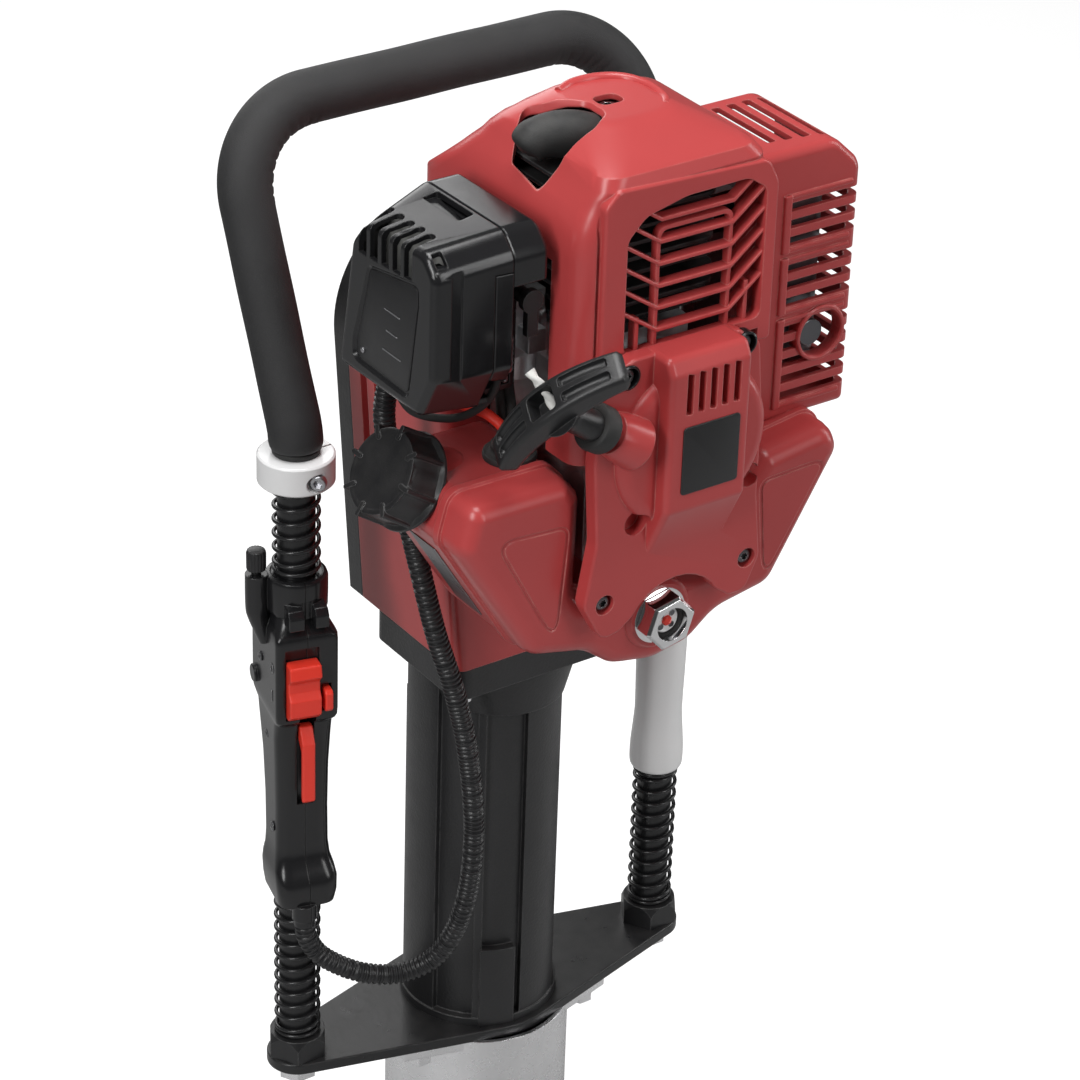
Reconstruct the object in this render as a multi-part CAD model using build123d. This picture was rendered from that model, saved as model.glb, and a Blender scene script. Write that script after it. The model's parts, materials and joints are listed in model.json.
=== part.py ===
from build123d import *
import os
from math import cos, pi, radians, sin

# Petrol post driver. Millimetres, +Z up. The origin is the centre of the driving sleeve's open lower end.
# X runs across the two handles, -Y is the starter side of the engine.

os.makedirs("parts", exist_ok=True)

# ---- driving dimensions -------------------------------------------------------------------------------
FIT = 0.08                     # radial running clearance
GAP = 0.2                      # gap between assembled faces that don't press

SLEEVE_R = 52.0
SLEEVE_WALL = 3.0
SOCKET_DEPTH = 134.0           # how far the plain bore reaches up from the mouth
PLATE_TOP = 178.0
PLATE_T = 6.0
PLATE_HUB_R = 48.0
PLATE_END_R = 17.0
FLANGE_BOLT_X = 55.0
FLANGE_BOLT_Y = 24.0

HALF_SPAN = 120.0              # leg centre to machine centre
TUBE_R = 10.0
TUBE_WALL = 2.0
BEND_Z = 566.0                 # where the legs start to lean back
BAIL_Y = 65.0
BAIL_Z = 716.0
BAIL_BEND_R = 46.0
FOAM_R = 14.0
NUT_AF = 30.0
NUT_H = 14.0
COLLAR_R = 20.2
COLLAR_Z0 = 539.0
COLLAR_Z1 = 555.4
SPRING_R = 11.7
SPRING_WIRE_R = 1.15
SPRING_PITCH = 8.2
GRIP_Z0 = 288.0
GRIP_Z1 = 486.0
GRIP_HALF_W = 15.5
HEAD_HALF_W = 17.0
HEAD_Z0 = 406.0
HEAD_Z1 = 455.5
HEAD_BACK = 26.0
GRIP_TURN = -14.0              # degrees the throttle grip is turned on its leg

BORE_R = 28.0
LINER_R = 31.0
CYL_BODY_R = 40.0
CYL_PAD_R = 43.5
CYL_TOP = 412.0
DECK_Z = 430.0
DECK_X = 55.0
DECK_FRONT = -55.0
DECK_BACK = 28.0

CRANK_Z = 600.0                # engine crankshaft height
PINION_TEETH = 11
GEAR_TEETH = 44
MODULE = 2.0
GEAR_Z = CRANK_Z - MODULE * (PINION_TEETH + GEAR_TEETH) / 2
THROW = 12.0
ROD_PIN_Z = 418.0              # piston pin height at the bottom of the stroke
GEARBOX_R = 66.0
GEARBOX_ROUND_Z = 592.0
GEARBOX_BACK = 38.0
GEARBOX_COVER_BACK = 58.0
WALL = 5.0

ENGINE_Y = -90.0               # engine cylinder axis
CASE_FRONT = -140.0
CASE_BACK = -56.0
SHROUD_X = 56.0
SHROUD_FRONT = -156.0
SHROUD_BACK = -12.0
SHROUD_Z0 = 598.0
SHELL = 3.0

STARTER_FRONT = -180.0
TANK_FRONT = -150.0
TANK_BACK = -66.0

FILTER_X0 = -126.0
FILTER_X1 = -64.0
MUFFLER_X0 = 60.0
MUFFLER_X1 = 136.0
MUFFLER_FRONT = -126.0
MUFFLER_BACK = -58.0
MUFFLER_Z0 = 579.0
MUFFLER_Z1 = 722.0

CAP_AXIS = Vector(-0.84, 0, 0.5426)
CAP_SEAT = Vector(-113, -96, 581)
CAP_R = 25.0

PULL_AXIS = Vector(-0.83, 0, 0.5578)
PULL_EYE = Vector(-48, -172, 624)
PULL_BAR = Vector(0.4706, -0.5369, 0.7002)

BOTTOM = (Align.CENTER, Align.CENTER, Align.MIN)


# ---- helpers ------------------------------------------------------------------------------------------
def save(shape, name):
    export_step(shape, "parts/" + name + ".step")


def rod(start, end, radius):
    """A cylinder from one point to another."""
    a = Vector(*start)
    b = Vector(*end)
    return Plane(origin=a, z_dir=b - a) * Cylinder(radius, (b - a).length, align=BOTTOM)


def pipe(start, end, outer, inner):
    return rod(start, end, outer) - rod(start, end, inner)


def upright(radius, z0, z1, x=0.0, y=0.0):
    return rod((x, y, z0), (x, y, z1), radius)


def along_y(radius, y0, y1, x=0.0, z=CRANK_Z):
    return rod((x, y0, z), (x, y1, z), radius)


def block(x0, x1, y0, y1, z0, z1):
    centre = Pos((x0 + x1) / 2, (y0 + y1) / 2, (z0 + z1) / 2)
    return centre * Box(x1 - x0, y1 - y0, z1 - z0)


def hexagon(across_flats, z0, z1, x=0.0, y=0.0):
    sketch = RegularPolygon(across_flats / 2, 6, major_radius=False)
    return Pos(x, y, z0) * extrude(sketch, z1 - z0)


def front_view(face, y0, y1):
    """Extrude a face drawn in X and Z from y0 (back) to y1 (front)."""
    plane = Plane(origin=(0, y0, 0), x_dir=(1, 0, 0), z_dir=(0, -1, 0))
    return extrude(plane * face, y0 - y1)


def side_view(face, x0, x1):
    """Extrude a face drawn in Y and Z from x0 to x1."""
    plane = Plane(origin=(x0, 0, 0), x_dir=(0, 1, 0), z_dir=(1, 0, 0))
    return extrude(plane * face, x1 - x0)


def outline(*points):
    return make_face(Polyline(*points, close=True))


def rounded(face, radius):
    return fillet(face.vertices(), radius)


def socket_screw(at, direction, radius, head_h, length):
    """A socket-head screw: the head sits at 'at' and the shank runs along 'direction'."""
    base = Plane(origin=at, z_dir=Vector(*direction))
    head = Pos(0, 0, -head_h) * Cylinder(radius * 1.7, head_h, align=BOTTOM)
    socket = Pos(0, 0, -head_h) * extrude(RegularPolygon(radius * 0.8, 6), head_h * 0.6)
    shank = Cylinder(radius, length, align=BOTTOM)
    return base * (head - socket + shank)


def gear(teeth, centre_z, y0, y1, phase=0.0):
    """A spur gear along Y with straight-flanked teeth and generous backlash."""
    pitch_r = MODULE * teeth / 2
    tip_r = pitch_r + 0.75 * MODULE
    root_r = pitch_r - 0.98 * MODULE
    corners = ((root_r, -1.75), (tip_r, -0.9), (tip_r, 0.9), (root_r, 1.75))
    points = []
    for i in range(teeth):
        for radius, half in corners:
            angle = radians(phase + i * 360 / teeth) + half / radius
            points.append((radius * cos(angle), centre_z + radius * sin(angle)))
    face = outline(*points)
    return front_view(face, y1, y0)


# ---- driving end --------------------------------------------------------------------------------------
def lozenge(hub_r, end_r):
    ends = Pos(-HALF_SPAN, 0) * Circle(end_r) + Pos(HALF_SPAN, 0) * Circle(end_r)
    return make_hull((Circle(hub_r) + ends).edges())


def bolt_places():
    return [(sx * FLANGE_BOLT_X, sy * FLANGE_BOLT_Y) for sx in (-1, 1) for sy in (-1, 1)]


def driving_sleeve():
    under = PLATE_TOP - PLATE_T
    body = upright(SLEEVE_R, 0, under)
    flange = Pos(0, 0, under - 6) * extrude(lozenge(PLATE_HUB_R - 1.5, PLATE_END_R - 2), 6)
    body += flange & block(-68, 68, -60, 60, under - 6, under)
    body = chamfer(body.edges().group_by(Axis.Z)[0], 1.0)
    body -= upright(SLEEVE_R - SLEEVE_WALL, 0, under)
    body -= upright(SLEEVE_R - SLEEVE_WALL + 0.6, SOCKET_DEPTH, under)
    for x, y in bolt_places():
        body -= upright(4 + GAP, under - 6, under, x, y)
    return body


def handle_plate():
    body = Pos(0, 0, PLATE_TOP - PLATE_T) * extrude(lozenge(PLATE_HUB_R, PLATE_END_R), PLATE_T)
    body = fillet(body.edges().group_by(Axis.Z)[-1], 1.0)
    body -= upright(20, PLATE_TOP - PLATE_T, PLATE_TOP)
    for side in (-1, 1):
        body -= upright(TUBE_R + FIT, PLATE_TOP - PLATE_T, PLATE_TOP, side * HALF_SPAN)
    for x, y in bolt_places():
        body -= upright(4 + GAP, PLATE_TOP - PLATE_T, PLATE_TOP - 1.5, x, y)
    return body


def plate_bolts():
    under = PLATE_TOP - PLATE_T
    solids = []
    for x, y in bolt_places():
        head = hexagon(13, under - 13, under - 6 - GAP, x, y)
        solids.append(head + upright(4, under - 8, under + 4, x, y))
    for side in (-1, 1):
        x = side * HALF_SPAN
        head = hexagon(19, under - 10, under - 2, x) + upright(13, under - 2, under - GAP, x)
        solids.append(head + upright(TUBE_R - TUBE_WALL - FIT, under - 1, under + 20, x))
    return Compound(solids)


def leg_nuts():
    solids = []
    for side in (-1, 1):
        x = side * HALF_SPAN
        nut = hexagon(NUT_AF, PLATE_TOP, PLATE_TOP + NUT_H, x)
        nut = nut & Pos(x, 0, PLATE_TOP) * Cone(21, 15, NUT_H, align=BOTTOM)
        solids.append(nut - upright(TUBE_R + FIT, PLATE_TOP, PLATE_TOP + NUT_H, x))
    return Compound(solids)


def sector(radius, angle, half_width, z0, z1):
    """A pie slice of a cylinder, centred on an angle in degrees."""
    reach = radius / cos(radians(half_width)) + 5
    corner_a = (reach * cos(radians(angle - half_width)), reach * sin(radians(angle - half_width)))
    corner_b = (reach * cos(radians(angle + half_width)), reach * sin(radians(angle + half_width)))
    wedge = Pos(0, 0, z0) * extrude(outline((0, 0), corner_a, corner_b), z1 - z0)
    return wedge & upright(radius, z0, z1)


def cylinder_housing():
    body = upright(CYL_BODY_R, PLATE_TOP, CYL_TOP + 2)
    body += upright(CYL_PAD_R + 1, PLATE_TOP, PLATE_TOP + 5)
    for angle in (0, 110, 180, 290):
        body += sector(CYL_PAD_R, angle, 21, PLATE_TOP, CYL_TOP + 2)
    for angle in (70, 250):
        body += sector(CYL_PAD_R + 1.5, angle, 13, PLATE_TOP, PLATE_TOP + 52)
        body += sector(CYL_PAD_R, angle - 15, 3, PLATE_TOP, CYL_TOP + 2)
    deck = rounded(Pos(0, (DECK_FRONT + DECK_BACK) / 2) * Rectangle(2 * DECK_X, DECK_BACK - DECK_FRONT), 9)
    body += Pos(0, 0, CYL_TOP) * extrude(deck, DECK_Z - CYL_TOP)
    body += Pos(0, -13.5, CYL_TOP - 26) * loft(
        Sketch() + [Circle(CYL_BODY_R - 4), Pos(0, 0, 26) * Ellipse(47, 38)]
    )
    body -= upright(LINER_R + FIT, PLATE_TOP, DECK_Z)
    for x, y in deck_screw_places():
        body -= upright(3 + FIT, CYL_TOP, DECK_Z, x, y) + upright(5.6, CYL_TOP - 30, CYL_TOP, x, y)
    return body


def deck_screw_places():
    return [(sx * 45, y) for sx in (-1, 1) for y in (DECK_FRONT + 10, DECK_BACK - 10)]


# ---- percussion parts ---------------------------------------------------------------------------------
def cylinder_liner():
    return pipe((0, 0, 216), (0, 0, 426), LINER_R, BORE_R)


def anvil_bush():
    return pipe((0, 0, PLATE_TOP), (0, 0, 215.8), LINER_R, 16 + FIT)


def anvil():
    body = upright(16, 160, 222)
    body += upright(24, 219, 234)
    foot = upright(46, 140, 160)
    foot = chamfer(foot.edges(), 2)
    body += foot
    return body


def striker():
    body = upright(BORE_R - FIT, 262, 340)
    body = chamfer(body.edges(), 2)
    for z in (280, 322):
        body -= pipe((0, 0, z - 2), (0, 0, z + 2), BORE_R, BORE_R - 2)
    return body


def drive_piston():
    body = upright(BORE_R - FIT, 372, 426)
    body -= upright(24.5, 382, 426)
    return body - pipe((0, 0, 376), (0, 0, 379), BORE_R, BORE_R - 2)


def connecting_rod():
    """The rod with its piston pin pressed into the small end."""
    pin_z = GEAR_Z - THROW
    big = along_y(11, -6, 6, 0, pin_z)
    small = along_y(8, -6, 6, 0, ROD_PIN_Z)
    shank = block(-5, 5, -4, 4, ROD_PIN_Z, pin_z)
    body = big + small + shank
    body -= along_y(6 + FIT, -6, 6, 0, pin_z)
    return body + along_y(4, -15, 15, 0, ROD_PIN_Z)


def crank_gear():
    body = gear(GEAR_TEETH, GEAR_Z, 11, 21, phase=360 / GEAR_TEETH / 2 + 90)
    for i in range(5):
        angle = 2 * pi * i / 5 + pi / 2
        body -= along_y(8, 11, 21, 26 * cos(angle), GEAR_Z + 26 * sin(angle))
    body += along_y(13, 10, 22, 0, GEAR_Z)
    body += along_y(8, 21, 50, 0, GEAR_Z)
    return body + along_y(6, -8, 12, 0, GEAR_Z - THROW)


def drive_pinion():
    body = gear(PINION_TEETH, CRANK_Z, 10, 22, phase=-90)
    return body + along_y(6, -26, 46)


def ball_bearings():
    solids = []
    for y in (CASE_FRONT, CASE_BACK - 6):
        solids.append(along_y(14, y, y + 6) - along_y(7 + FIT, y, y + 6))
    for y in (25, 41):
        solids.append(along_y(17, y, y + 9, 0, GEAR_Z) - along_y(8 + FIT, y, y + 9, 0, GEAR_Z))
    for y in (-24, 36):
        solids.append(along_y(13, y, y + 7) - along_y(6 + FIT, y, y + 7))
    return Compound(solids)


def clutch_drum():
    body = along_y(38, -50, -26) - along_y(35, -50, -29)
    return body - along_y(6, -50, -26)


def clutch_shoes():
    body = along_y(34, -46, -33) - along_y(22, -46, -33)
    body -= block(-40, 40, -50, -30, CRANK_Z - 3, CRANK_Z + 3)
    return body


# ---- gearbox ------------------------------------------------------------------------------------------
def gearbox_outline(inset=0.0):
    foot = Pos(0, (DECK_Z + 480) / 2) * Rectangle(2 * (DECK_X - inset), 480 - DECK_Z)
    crown = Pos(0, GEARBOX_ROUND_Z) * Circle(GEARBOX_R - inset)
    return make_hull((foot + crown).edges())


def gearbox_housing():
    body = front_view(gearbox_outline(), GEARBOX_BACK, DECK_FRONT)
    cavity = front_view(gearbox_outline(WALL + 1), GEARBOX_BACK, -18)
    clutch_room = along_y(44, DECK_FRONT, -26)
    floor = block(-DECK_X, DECK_X, DECK_FRONT, GEARBOX_BACK, DECK_Z, DECK_Z + 9)
    front = body.faces().sort_by(Axis.Y)[0]
    body = fillet(front.edges().sort_by(Axis.Z)[1:], 6)
    body -= cavity - floor
    body -= clutch_room
    body -= along_y(13 + FIT, -26, -17)
    body -= upright(29, DECK_Z, DECK_Z + 26)
    body -= block(-48, 48, DECK_FRONT + 6, -24, DECK_Z + 12, 548)
    for x, y in deck_screw_places():
        body -= upright(3 + FIT, DECK_Z, DECK_Z + 8, x, y)
    for side in (-1, 1):
        for y in (-2, 11, 24):
            groove = block(58.5, 80, y - 3.2, y + 3.2, 508, 612)
            body -= groove if side > 0 else mirror(groove, Plane.YZ)
    return body


def gearbox_cover():
    body = front_view(gearbox_outline(), GEARBOX_COVER_BACK, GEARBOX_BACK + GAP)
    body = chamfer(body.faces().sort_by(Axis.Y)[-1].edges(), 7)
    body -= front_view(gearbox_outline(WALL + 3), GEARBOX_COVER_BACK - 4, GEARBOX_BACK)
    boss = along_y(21, 24, GEARBOX_COVER_BACK - 3, 0, GEAR_Z)
    boss += along_y(17, 35, GEARBOX_COVER_BACK - 3)
    body += boss
    body -= along_y(17 + FIT, 20, 50.2, 0, GEAR_Z) + along_y(13 + FIT, 30, 46.2)
    for i in range(9):
        z = 470 + 17 * i
        body += block(-30, 30, GEARBOX_COVER_BACK - 1, GEARBOX_COVER_BACK + 3, z, z + 4)
    return body


# ---- engine -------------------------------------------------------------------------------------------
def crankcase():
    body = along_y(41, CASE_FRONT, CASE_BACK)
    body += block(-40, 40, CASE_FRONT, CASE_BACK, 536, CRANK_Z)
    body += block(-32, 32, ENGINE_Y - 32, ENGINE_Y + 32, CRANK_Z, 646)
    body -= along_y(35, CASE_FRONT + 6, CASE_BACK - 6)
    body -= upright(19, CRANK_Z, 646, 0, ENGINE_Y)
    body -= along_y(14 + FIT, CASE_FRONT, CASE_FRONT + 6) + along_y(14 + FIT, CASE_BACK - 6, CASE_BACK)
    return body


def crankshaft():
    body = along_y(7, -158, ENGINE_Y - 8) + along_y(7, ENGINE_Y + 8, -34)
    for y in (ENGINE_Y - 14, ENGINE_Y + 7):
        body += along_y(24, y, y + 7)
    body += along_y(5, ENGINE_Y - 10, ENGINE_Y + 10, 0, CRANK_Z - 13)
    return body + along_y(20, -46, -33)


def engine_cylinder():
    body = upright(24, 646 + GAP, 740, 0, ENGINE_Y)
    for i in range(10):
        z = 658 + 8 * i
        fin = Pos(0, ENGINE_Y) * Rectangle(82, 84)
        body += Pos(0, 0, z) * extrude(rounded(fin, 8), 2)
    body += Pos(0, 0, 650) * extrude(Pos(0, ENGINE_Y) * Rectangle(56, 60), 6)
    body -= upright(19, 646, 726, 0, ENGINE_Y)
    body -= rod((-13.8, ENGINE_Y, 736.6), (-32, ENGINE_Y, 759), 9.5)
    body -= rod((-27, ENGINE_Y, 750), (-31, ENGINE_Y + 26, 743), 7.5)
    body -= rod((-2, ENGINE_Y, 722), (-26, ENGINE_Y, 752), 6)
    return body


def engine_piston():
    body = upright(19 - FIT, 656, 682, 0, ENGINE_Y)
    return body - upright(16.5, 656, 677, 0, ENGINE_Y)


def flywheel_fan():
    body = along_y(46, -149, -144) + along_y(16, -156, -142)
    for i in range(14):
        blade = block(-1.2, 1.2, -155, -148, CRANK_Z + 22, CRANK_Z + 47)
        body += blade.rotate(Axis((0, 0, CRANK_Z), (0, 1, 0)), i * 360 / 14)
    return body - along_y(7, -156, -142)


def spark_plug():
    body = rod((-3.5, ENGINE_Y, 724), (-13, ENGINE_Y, 735.6), 5.8)
    return body + rod((-12.4, ENGINE_Y, 735), (-24, ENGINE_Y, 749), 4)


def spark_plug_cap():
    body = rod((-14.4, ENGINE_Y, 737.3), (-27, ENGINE_Y, 752.6), 9)
    body += Pos(-27, ENGINE_Y, 750) * Sphere(10)
    body += rod((-27, ENGINE_Y, 750), (-31, ENGINE_Y + 26, 743), 7)
    return body - rod((-12, ENGINE_Y, 734.5), (-24.6, ENGINE_Y, 749.8), 4 + FIT)


def carburettor():
    body = block(-63.8, -42, -104, -76, 638, 672)
    body += rod((-45, ENGINE_Y, 655), (-41.5, ENGINE_Y, 655), 15)
    body += block(-58, -48, -114, -104, 644, 656)
    body += rod((-51, ENGINE_Y, 624), (-51, ENGINE_Y, 640), 12)
    return body - rod((-70, ENGINE_Y, 655), (-40, ENGINE_Y, 655), 7)


def muffler():
    body = block(66, 124, -114, -64, 592, 700)
    body = fillet(body.edges(), 10)
    body += block(42, 70, -104, -76, 676, 698)
    return body + rod((110, -110, 616), (110, -123, 616), 7)


# ---- covers -------------------------------------------------------------------------------------------
def shroud_outline(inset=0.0):
    side = SHROUD_X - inset
    return outline(
        (-side, SHROUD_Z0 - 1), (-side, 712 - inset * 0.4), (-46 + inset * 0.6, 735 - inset),
        (-24 + inset * 0.3, 752 - inset), (26 - inset * 0.3, 756 - inset), (44 - inset * 0.6, 741 - inset),
        (side, 722 - inset * 0.4), (side, SHROUD_Z0 - 1),
    )


def shroud_side(inset=0.0):
    return outline(
        (SHROUD_FRONT + inset, SHROUD_Z0), (SHROUD_FRONT + inset, 736 - inset * 0.4),
        (-134, 744 - inset), (-112, 757 - inset), (-66, 757 - inset),
        (SHROUD_BACK - inset, 700 - inset), (SHROUD_BACK - inset, SHROUD_Z0),
    )


def shroud_grille():
    """Six chevron bars and two uprights inside the front opening."""
    bars = Sketch()
    for i in range(6):
        z = 655 + 12 * i
        bars += outline(
            (-44, z + 5), (-20, z - 2), (18, z - 2), (44, z + 14), (44, z + 16.6),
            (17.4, z + 0.4), (-19.4, z + 0.4), (-44, z + 7.6),
        )
    for x in (-19, 17):
        bars += Pos(x, 686) * Rectangle(2.2, 82)
    opening = rounded(Pos(2, 687) * Rectangle(79, 74), 8)
    return front_view(bars & opening, SHROUD_FRONT + 9, SHROUD_FRONT)


def engine_shroud():
    body = front_view(shroud_outline(), SHROUD_BACK, SHROUD_FRONT) & side_view(shroud_side(), -60, 60)
    body = fillet(body.edges().filter_by(Axis.Z).sort_by(Axis.Y)[:2], 6)
    room = front_view(shroud_outline(SHELL), SHROUD_BACK + 1, SHROUD_FRONT)
    body -= room & side_view(shroud_side(SHELL), -60, 60)
    body -= front_view(rounded(Pos(2, 687) * Rectangle(78, 73), 8), SHROUD_FRONT + 8, SHROUD_FRONT - 1)
    body += shroud_grille() - front_view(shroud_outline(1), SHROUD_FRONT + 20, SHROUD_FRONT + 10)
    body -= block(-70, -50, -126, -54, 560, 704)
    body -= block(50, 70, -126, -54, 560, 716)
    body -= block(-48, 48, SHROUD_FRONT - 1, SHROUD_FRONT + 12, 500, 652)
    body -= block(-60, 60, -60, 0, 500, 663)
    pocket = rounded(Pos(-30, -82) * Rectangle(40, 52), 10)
    body -= Pos(0, 0, 728) * extrude(pocket, 40)
    body -= upright(2.6, 740, 770, 0, -88)
    return body


def starter_outline():
    ears = [(-35, 648, 9), (35, 648, 9), (-42, 527, 9), (42, 527, 9)]
    shape = Pos(0, CRANK_Z) * Circle(46)
    for x, z, r in ears:
        shape += Pos(x, z) * Circle(r)
    hull = make_hull(shape.edges())
    return hull - Pos(0, 500) * Circle(27)


def starter_screw_places():
    return [(-35, 648), (35, 648), (-42, 527), (42, 527)]


def starter_housing():
    body = front_view(starter_outline(), SHROUD_FRONT - GAP, SHROUD_FRONT - 9)
    body += along_y(45, -171, SHROUD_FRONT - GAP)
    nose = side_view(outline((-160, 548), (-166, 536), (STARTER_FRONT, 566), (STARTER_FRONT, 656),
                             (-176, 661), (-160, 661)), -24, 24)
    body += fillet(nose.edges().filter_by(Axis.Y), 5)
    eye = rod(PULL_EYE - PULL_AXIS * 12, PULL_EYE, 8)
    body += rod(PULL_EYE - PULL_AXIS * 20, PULL_EYE - PULL_AXIS * 1, 10) & block(-80, 0, -171, -150, 560, 660)
    body -= along_y(42, -168, -150)
    body -= block(-21, 21, STARTER_FRONT + 3, -150, 570, 655)
    for i in range(5):
        body -= block(-19 + 8.4 * i, -14.6 + 8.4 * i, -190, -150, 636, 657)
    for x, z in starter_screw_places():
        body -= along_y(2.5 + FIT, -190, -150, x, z) + along_y(5.2, -190, SHROUD_FRONT - 5, x, z)
    for x, z in ((-38, 562), (39, 578)):
        body -= along_y(6, -190, -150, x, z)
    return body - eye - rod(PULL_EYE - PULL_AXIS * 40, PULL_EYE + PULL_AXIS * 5, 2.2)


def starter_reel():
    body = along_y(36, -166, -164) + along_y(36, -160, -158.5) + along_y(26, -166, -158.5)
    return body - along_y(8, -170, -150)


def recoil_spring():
    """A flat spiral spring behind the reel's rim, drawn as its rolled-up ring."""
    body = along_y(20, -176, -168.4) - along_y(16.5, -176, -168.4)
    return body - block(-2, 2, -180, -160, CRANK_Z, CRANK_Z + 30)


def starter_rope():
    return rod(PULL_EYE - PULL_AXIS * 9, PULL_EYE + PULL_AXIS * 34, 1.8)


def pull_frame(distance):
    origin = PULL_EYE + PULL_AXIS * distance
    return Plane(origin=origin, x_dir=PULL_BAR, z_dir=PULL_AXIS)


def starter_handle():
    arch = Pos(0, -60) * (Circle(78) - Circle(62))
    arch = arch & Pos(0, 5) * Rectangle(86, 26)
    bar = extrude(arch, 10, both=True)
    bar = Rot(90, 0, 0) * bar
    bar = fillet(bar.edges().filter_by(Axis.Y), 3)
    for side in (-1, 1):
        for off in (-5, 4):
            groove = Pos(side * 23, off, 24) * Box(26, 5, 14)
            bar -= groove
    stem = Pos(0, 0, -22) * Cylinder(8, 26, align=BOTTOM)
    body = bar + stem
    body -= Pos(0, 0, -30) * Cylinder(2.2, 60, align=BOTTOM)
    body -= Pos(0, 0, 6) * Box(12, 10, 30, align=BOTTOM)
    return pull_frame(34) * body


def filter_side(inset=0.0):
    """The air cleaner seen from the end: narrower at the top, tapered below."""
    return outline(
        (-46 - inset, 626 + inset), (-50 - inset, 706 - inset * 0.6), (-62 - inset, 721 - inset),
        (-126 + inset * 0.5, 722 - inset), (-138 + inset, 711 - inset * 0.5), (-138 + inset, 660),
        (-122 + inset, 628 + inset),
    )


def air_filter_base():
    body = side_view(rounded(filter_side(), 6), FILTER_X1 - 20, FILTER_X1)
    body -= side_view(rounded(filter_side(SHELL), 5), FILTER_X1 - 30, FILTER_X1 - 4)
    body -= rod((-90, ENGINE_Y, 655), (-60, ENGINE_Y, 655), 7)
    body -= block(-80, -60, -150, -120, 600, 692)
    return body - along_y(4 + FIT, -134, -113.8, -70, 684)


def air_filter_cover():
    body = side_view(rounded(filter_side(), 6), FILTER_X0, FILTER_X1 - 20 - GAP)
    body = fillet(body.faces().sort_by(Axis.X)[0].edges(), 4)
    body -= side_view(rounded(filter_side(SHELL), 5), FILTER_X0 + SHELL, FILTER_X1)
    for i in range(5):
        y = -74 - 10.5 * i
        body -= block(FILTER_X0 - 1, FILTER_X0 + 17, y - 5.4, y, 700, 730)
    panel = side_view(rounded(outline((-76, 644), (-84, 692), (-122, 692), (-122, 644)), 3), -140, FILTER_X0 + 1.2)
    return body - panel


def filter_element():
    return side_view(rounded(filter_side(5), 4), FILTER_X0 + 22, FILTER_X1 - 22)


def choke_lever():
    pivot = along_y(4, -134, -114, -70, 684)
    blade = block(-73, -67, -134, -130, 666, 684) + along_y(6, -134, -130, -70, 684)
    return pivot + blade


def muffler_face(inset=0.0):
    return outline(
        (MUFFLER_X0, MUFFLER_Z0), (MUFFLER_X0, MUFFLER_Z1 - inset), (118 - inset * 0.4, MUFFLER_Z1 - inset),
        (MUFFLER_X1 - inset, 700 - inset * 0.4), (MUFFLER_X1 - inset, MUFFLER_Z0),
    )


def muffler_cover():
    body = front_view(muffler_face(), MUFFLER_BACK, MUFFLER_FRONT)
    body = fillet(body.edges().filter_by(Axis.Y).sort_by(Axis.Z)[-3:], 6)
    body = fillet(body.faces().sort_by(Axis.Y)[0].edges().sort_by(Axis.Z)[1:], 4)
    body -= front_view(muffler_face(SHELL), MUFFLER_BACK - SHELL, MUFFLER_FRONT + SHELL)
    body -= block(MUFFLER_X0 - 1, MUFFLER_X0 + 10, -118, -66, 585, 712)
    for base, count in ((676, 3), (641, 3), (586, 5)):
        for i in range(count):
            z = base + 9.5 * i
            body -= block(88, MUFFLER_X1 + 1, MUFFLER_FRONT - 1, MUFFLER_FRONT + 12, z, z + 5)
            body -= block(MUFFLER_X1 - 6, MUFFLER_X1 + 1, MUFFLER_FRONT - 1, MUFFLER_BACK - 10, z, z + 5)
    for i in range(4):
        x = 84 + 9.5 * i
        body -= block(x, x + 5, -114, -68, MUFFLER_Z1 - 9, MUFFLER_Z1 + 1)
    ring = along_y(14, MUFFLER_FRONT + SHELL, MUFFLER_FRONT - 1.5, 110, 616)
    body += ring
    return body - along_y(11.5, MUFFLER_FRONT + 8, MUFFLER_FRONT - 4, 110, 616)


# ---- fuel ---------------------------------------------------------------------------------------------
def tank_face(inset=0.0):
    c = inset
    return outline(
        (-50 - c, 586 - c), (-106 + c, 590 - c), (-113 + c * 1.3, 574), (-68 + c, 494 + c * 0.6),
        (-22, 468 + c), (22, 468 + c), (68 - c, 494 + c * 0.6), (113 - c * 1.3, 560), (107 - c, 577 - c),
        (54 + c, 574 - c), (54 + c, 524 - c), (42, 512 - c), (-42, 512 - c), (-52 - c, 524 - c),
    )


def fuel_tank():
    body = front_view(rounded(tank_face(), 7), TANK_BACK, TANK_FRONT)
    seam = front_view(rounded(tank_face(), 7), -128, -131)
    body += seam
    neck_base = CAP_SEAT - CAP_AXIS * 26
    neck = rod(neck_base, CAP_SEAT, 19)
    body += neck
    body += along_y(17, TANK_FRONT + 2, -153, 0, 499)
    body -= front_view(rounded(tank_face(SHELL), 5), TANK_BACK - SHELL, TANK_FRONT + SHELL)
    body -= rod(neck_base - CAP_AXIS * 2, CAP_SEAT + CAP_AXIS * 2, 15)
    body -= along_y(9 + FIT, -160, TANK_FRONT + 8, 0, 499)
    return body - upright(9 + FIT, 575, 600, -66, -112)


def fuel_cap():
    seat = Plane(origin=CAP_SEAT + CAP_AXIS * 0.3, z_dir=CAP_AXIS)
    body = Cylinder(CAP_R, 21, align=BOTTOM)
    body = fillet(body.edges().group_by(Axis.Z)[-1], 2)
    for i in range(8):
        body -= Rot(0, 0, 45 * i) * Pos(CAP_R + 1.4, 0, 3) * Cylinder(3, 30, align=BOTTOM)
    body -= Pos(0, 0, -1) * Cylinder(CAP_R - 4, 3, align=BOTTOM)
    body += Cylinder(15 - 0.3, 4, align=BOTTOM)
    return seat * body


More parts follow.
